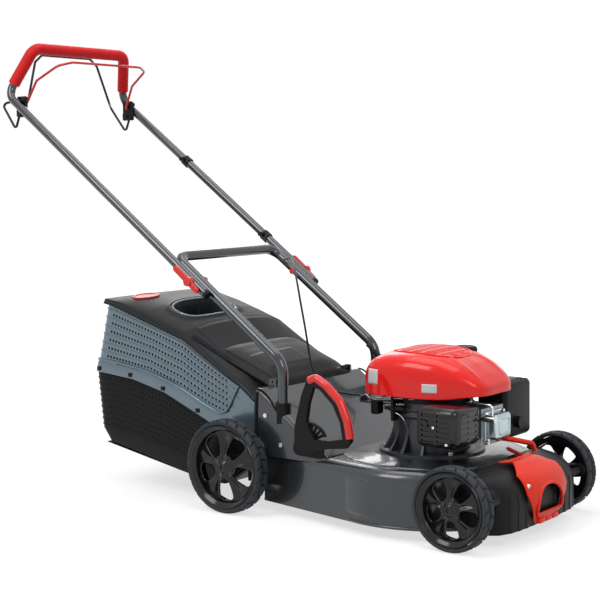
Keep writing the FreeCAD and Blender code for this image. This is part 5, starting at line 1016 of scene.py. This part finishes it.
def makeApron():
    # black nose: plan line drawn back to the deck as it rises, with upright ribs on the lower face
    low, high = boxOf("front_apron")
    half = (high[1] - low[1]) / 2
    turn = np.linspace(-math.pi / 2, math.pi / 2, 241)
    nose, square = high[0] - 4, 2 / 4.6
    y = half * np.sign(turn) * np.abs(np.sin(turn)) ** square
    x = low[0] + 2 + (nose - low[0] - 2) * np.cos(turn).clip(0, 1) ** square
    sweep = y / half
    profile = smoothLine([(0, 30), (0, 60), (0, 92), (.05, 112), (.20, 130), (.52, 146), (1, 157)], 44)
    draw, rise = profile[:, :1], profile[:, 1:]
    back = low[0] + 2
    ribs = smoothStep(np.sin(sweep * 40), .2, .6) * smoothStep(1 - np.abs(sweep), 0, .03)
    lower = smoothStep(112 - rise, 0, 8)
    push = 1.6 * ribs[None, :] * lower
    gx = x[None, :] * (1 - draw) + back * draw + push
    gy = y[None, :] * (1 - .06 * draw) + 0 * gx
    gz = rise + 0 * gx - 9 * (np.abs(sweep[None, :]) ** 4) * draw
    piece("frontApron", [grid(np.stack([gx, gy, gz], -1))], "deck", "black_plastic", standsFor=["front_apron"],
          wall=3.0, sharp=30)


frontLook = {"widths": [(0, 64), (.12, 46), (.26, 70), (.34, 88), (.62, 88), (1, 50)],
             "windowHalf": 56.0, "windowLow": 54.0, "windowHigh": 114.0}


def makeFrontHandle():
    # red handle: a folded plate narrower at both ends, with an arched window whose edge has a bead
    low, high = boxOf("front_handle")
    nose = high[0] - 4
    path = smoothLine([(low[0] + 6, 161), (low[0] + 34, 160), (nose - 40, 150), (nose - 14, 128), (nose - 2, 100),
                       (nose - 1, 66), (nose - 10, 33)], 120)
    t = np.linspace(0, 1, 120)
    widths = np.array(frontLook["widths"])
    half = np.interp(t, widths[:, 0], widths[:, 1])
    u = np.linspace(-1, 1, 121)
    gx = path[:, :1] - 5 * np.abs(u[None, :]) ** 3 + 2.5 * (1 - u[None, :] ** 2)
    gy = half[:, None] * u[None, :]
    gz = path[:, 1:] + 0 * gx
    arch = (np.abs(gy) / frontLook["windowHalf"]) ** 2.4 + (np.clip(gz - frontLook["windowLow"] - 6, 0, 99)
                                                          / (frontLook["windowHigh"] - frontLook["windowLow"] - 6)) ** 2.2
    inside = (arch < 1) & (gz > frontLook["windowLow"]) & (t[:, None] > .5)
    corners = inside[:-1, :-1] & inside[1:, :-1] & inside[:-1, 1:] & inside[1:, 1:]
    piece("frontHandlePlate", [grid(np.stack([gx, gy, gz], -1), keep=~corners)], "deck", "handle_red",
          standsFor=["front_handle"], wall=4.0, sharp=40)
    turn = np.linspace(0, math.pi, 40)
    archY = frontLook["windowHalf"] * np.sign(np.cos(turn)) * np.abs(np.cos(turn)) ** (2 / 2.4)
    archZ = frontLook["windowLow"] + 6 + (frontLook["windowHigh"] - frontLook["windowLow"] - 6) * np.sin(turn) ** (2 / 2.2)
    lineY = np.concatenate([archY, [-frontLook["windowHalf"] + 3, 0, frontLook["windowHalf"] - 3, archY[0]]])
    lineZ = np.concatenate([archZ, [frontLook["windowLow"]] * 3, archZ[:1]])
    order = np.argsort(path[60:, 1])
    lineX = np.interp(lineZ, path[60:, 1][order], path[60:, 0][order]) + 2.4 - 5 * (np.abs(lineY) / 90) ** 3
    bead = pipe(np.stack([lineX - 1.4, lineY, lineZ], -1), 3.4, ends=False)
    tabs = [roundBox((nose - 16, y - 13, 32), (nose - 3, y + 13, 44), 3, 3) for y in (-30, 0, 30)]
    shelf = roundBox((nose - 34, -50, 46), (nose - 3, 50, 52), 2.4, 3)
    piece("frontHandleRim", [bead, shelf] + tabs, "deck", "handle_red", sharp=40)
    screw = turned([(0, 3.4), (2, 3.4), (2.6, 4), (5, 3.6), (5.8, 2.4), (5.8, -2), (0, -2)],
                   (nose - 14, -76, 118), "x", 28)
    piece("frontScrew", [screw], "deck", "bright_steel")


def deckOutline(count, inset=0.0):
    # plan of the deck: a circle round the blade with straight tangents to the narrower tail
    low, high = boxOf("deck_shell")
    radius = (high[1] - low[1]) / 2 - inset
    tail = 175.0 - inset
    reach = bladeAxis[0] - low[0]
    spread = math.atan2(reach, tail) + math.acos(min(1, radius / math.hypot(reach, tail)))
    lead = math.pi - spread + math.pi / 2
    a = np.linspace(-lead, lead, count)
    arc = np.stack([bladeAxis[0] + radius * np.cos(a), radius * np.sin(a)], -1)
    t = np.linspace(0, 1, 30)[:, None]
    near = (1 - t) * np.array([low[0], -tail]) + t * arc[0]
    far = (1 - t) * arc[-1] + t * np.array([low[0], tail])
    return np.concatenate([near[:-1], arc, far[1:]])


def makeDeckDetails():
    # rolled lower edge, a raised step round the engine, and a pressed panel on each side of the skirt
    line = deckOutline(160)
    flare = pipe(np.column_stack([line, np.full(len(line), 28.5)]), 3.6, sides=10)
    step = [(205, 149.5), (203, 151.5), (198, 153), (150, 154.2), (140, 156.4), (126, 157), (119, 157)]
    ring = turned(step, (bladeAxis[0], 0, 0), "z", 160)
    piece("deckRims", [flare, ring], "deck", "deck_paint", sharp=40)
    panels = []
    for side in (-1, 1):
        half = line[(line[:, 1] * side > 0)]
        half = half[np.argsort(half[:, 0])]
        x = np.linspace(246, 474, 90)[None, :]
        y = np.interp(x[0], half[:, 0], half[:, 1] * side)[None, :]
        top = np.interp(x[0], [246, 290, 366, 474], [146, 137, 130, 124])[None, :]
        v = np.linspace(0, 1, 40)[:, None]
        lift = 3.6 * smoothStep(x, 246, 250) * smoothStep(474 - x, 0, 60) * smoothStep(1 - v, 0, .07)
        lift = lift * smoothStep(v, 0, .12) - .5
        z = 40 + (top - 40) * v
        panels.append(grid(np.stack([x + 0 * v, side * (y + lift), z], -1)))
    piece("deckPanels", panels, "deck", "deck_paint", sharp=60)



def makeHousingDetails():
    # black seals at the box seat, fan-ribbed foot of the lever, plain sticker on the slope and rounded edges
    low, high = boxOf("rear_housing")
    edgeX = np.array([low[0] + 6, low[0] + 14, low[0] + 66, low[0] + 128, high[0] - 2])
    edgeZ = np.array([high[2] - 17, high[2] - 18, high[2] - 68, high[2] - 115, low[2] + 12])
    bars = []
    for side in (-1, 1):
        line = smoothLine(np.column_stack([edgeX[:3], np.full(3, side * 202.0), edgeZ[:3]]), 40)
        bars.append(pipe(line, 2.4, sides=8))
        seal = [(low[0] - 1, side * 203, 148), (low[0] + 1, side * 204, 190), (low[0] + 2, side * 204, 240),
                (low[0] + 5, side * 203, 284)]
        bars.append(pipe(smoothLine(seal, 30), 4.2, sides=8))
    piece("housingSeals", bars, "deck", "black_plastic")
    fan = []
    foot = np.array([low[0] + 158, -204.0, 186.0])
    for k, degrees in enumerate((28, 46, 64, 82, 100)):
        a = math.radians(degrees)
        tip = foot + np.array([46 * math.cos(a), -1.0, 40 * math.sin(a)])
        fan.append(pipe(np.linspace(foot, tip, 8), 3.4, sides=8))
    ring = [foot + np.array([46 * math.cos(a), -1, 40 * math.sin(a)]) for a in np.radians(np.linspace(20, 108, 20))]
    fan.append(pipe(np.array(ring), 4.0, sides=8))
    fan.append(turned([(0, -4), (14, -4), (16, -1), (16, 3), (0, 3)], foot, count=32))
    piece("leverFoot", fan, "deck", "black_plastic")
    u, v = np.meshgrid(np.linspace(0, 1, 9), np.linspace(0, 1, 7), indexing="ij")
    x = low[0] + 64 + 10 + 44 * u
    y = -172 + 50 * v
    z = np.interp(x, edgeX, edgeZ) + 4.0
    return x, y, z


def makeHandleClips():
    # rounded bail brackets, tube end caps and the two cable clips on the far side
    low, high = boxOf("handle_fittings")
    sheets = []
    for side in (-1, 1):
        inner, outer = sorted((side * 189.5, side * 200.5))
        sheets.append(roundBox((-699, inner, 940), (-659, outer, 963), 5, 4))
        sheets.append(roundBox((-697, inner, 957), (-661, outer, 994), 5, 4))
        turnCap = [(0, -6.5), (5, -6.5), (6.5, -5), (6.5, 2), (0, 2)]
        profile = [(r, h * -side) for r, h in turnCap]
        sheets.append(turned(profile, (-668, side * 200.0, 984), count=24))
        slope = np.array([-math.cos(math.radians(36.3)), 0, math.sin(math.radians(36.3))])
        tail = np.array([-40.8, side * 210.5, 503.9])
        sheets.append(pipe([tail + slope * d for d in (-6, -5, -1, 7)], [7, 10, 11, 11], sides=24))
    for x, z in ((-198.7, 619.8), (-472.8, 821.2)):
        middle = np.array([x, 210.5, z])
        sheets.append(pipe([middle + slope * d for d in (-11, -10, 10, 11)], [12.6, 14, 14, 12.6], sides=28))
        sheets.append(roundBox((x - 12, 188, z + 2), (x + 4, 201, z + 13), 3, 3))
    piece("handleClips", sheets, "upper_handle", "black_plastic", standsFor=["handle_fittings"])


def makeFuelCap():
    # cap with a fluted rim: the radius swells with every flute
    low, high = boxOf("fuel_cap")
    centre, radius = (low + high) / 2, (high[0] - low[0]) / 2
    turn = np.linspace(0, 2 * math.pi, 216, endpoint=False)[None, :]
    rows = np.array([(0, 0), (radius - 8, 0), (radius - 4, 1), (radius - 1.4, 6), (radius - .6, 14),
                     (radius, high[2] - low[2] - 8), (radius - 2.5, high[2] - low[2] - 2),
                     (radius - 7, high[2] - low[2]), (radius - 12, high[2] - low[2] - 1.6), (0, high[2] - low[2] - 1.6)])
    flute = 1.2 * smoothStep(np.cos(turn * 24), -.3, .5) * (rows[:, :1] > radius - 4.5)
    r = rows[:, :1] - flute
    points = np.stack([r * np.cos(turn), r * np.sin(turn), rows[:, 1:] + 0 * r], -1)
    piece("fuelCapFluted", [grid(points + [centre[0], centre[1], low[2]], closeColumns=True)], "fuel_cap",
          "black_plastic", standsFor=["fuel_cap"])


def makeSticker():
    # blank sticker that lies on the slope of the housing
    x, y, z = makeHousingDetails()
    piece("housingSticker", [grid(np.stack([x, y, z], -1))], "deck", "deck_paint", finish="blankLabel", wall=.5)


makeBoxLid()
makeIndicator()
makeFlap()
makeSilencer()
makeAirBox()
makeHeadDetails()
makeEngineDetails()
makeApron()
makeFrontHandle()
makeDeckDetails()
makeSticker()
makeHandleClips()
makeFuelCap()
print("lid, flap, engine, nose and deck details made")


# ---- stage and light ----

def rayMask(tree):
    # 1 for rays that come from the camera, a reflection or a transmission
    path = tree.nodes.new("ShaderNodeLightPath")
    total = mathNode(tree, "ADD", path.outputs["Is Camera Ray"], path.outputs["Is Glossy Ray"])
    return mathNode(tree, "ADD", total, path.outputs["Is Transmission Ray"], clamp=True)


def makeStage():
    mesh = bpy.data.meshes.new("floor")
    mesh.from_pydata([(-30, -30, 0), (30, -30, 0), (30, 30, 0), (-30, 30, 0)], [], [(0, 1, 2, 3)])
    floor = bpy.data.objects.new("floor", mesh)
    bpy.context.scene.collection.objects.link(floor)
    paint = bpy.data.materials.new("floorPaint")
    paint.use_nodes = True
    tree = paint.node_tree
    shader = tree.nodes["Principled BSDF"]
    shader.inputs["Base Color"].default_value = (.45, .45, .45, 1)
    shader.inputs["Roughness"].default_value = 1
    shader.inputs["Specular IOR Level"].default_value = 0
    shader.inputs["Emission Color"].default_value = (1, 1, 1, 1)
    place = tree.nodes.new("ShaderNodeTexCoord")
    reach = tree.nodes.new("ShaderNodeVectorMath")
    reach.operation = "LENGTH"
    tree.links.new(place.outputs["Object"], reach.inputs[0])
    spread = tree.nodes.new("ShaderNodeMapRange")
    spread.interpolation_type = "SMOOTHSTEP"
    for label, value in (("From Min", .9), ("From Max", 3.2), ("To Min", .66), ("To Max", 1.0)):
        spread.inputs[label].default_value = value
    tree.links.new(reach.outputs["Value"], spread.inputs["Value"])
    tree.links.new(mathNode(tree, "MULTIPLY", rayMask(tree), spread.outputs["Result"]),
                   shader.inputs["Emission Strength"])
    mesh.materials.append(paint)
    world = bpy.data.worlds.new("studio")
    bpy.context.scene.world = world
    world.use_nodes = True
    tree = world.node_tree
    sky = tree.nodes["Background"]
    sky.inputs["Color"].default_value = (1, 1, 1, 1)
    mask = rayMask(tree)
    strength = mathNode(tree, "MULTIPLY_ADD", mask, .65)
    strength.node.inputs[2].default_value = .35
    tree.links.new(strength, sky.inputs["Strength"])


lamps = {"key": dict(place=(-.6, -2.6, 2.9), aim=(0, 0, .3), size=1.6, power=52),
         "front": dict(place=(2.8, -1.4, 2.2), aim=(.2, 0, .3), size=1.4, power=30),
         "top": dict(place=(0, .3, 3.2), aim=(0, 0, .2), size=2.2, power=34),
         "rear": dict(place=(-2.2, 2.2, 2.0), aim=(0, 0, .4), size=1.5, power=20)}


def makeLamps():
    for name, values in lamps.items():
        light = bpy.data.lights.new(name, "AREA")
        light.size, light.energy = values["size"], values["power"]
        lamp = bpy.data.objects.new(name, light)
        bpy.context.scene.collection.objects.link(lamp)
        lamp.location = values["place"]
        lamp.rotation_euler = (Vector(values["aim"]) - Vector(values["place"])).to_track_quat("-Z", "Y").to_euler()


makeStage()
makeLamps()
bpy.context.scene.view_settings.view_transform = "Standard"
print("stage set")
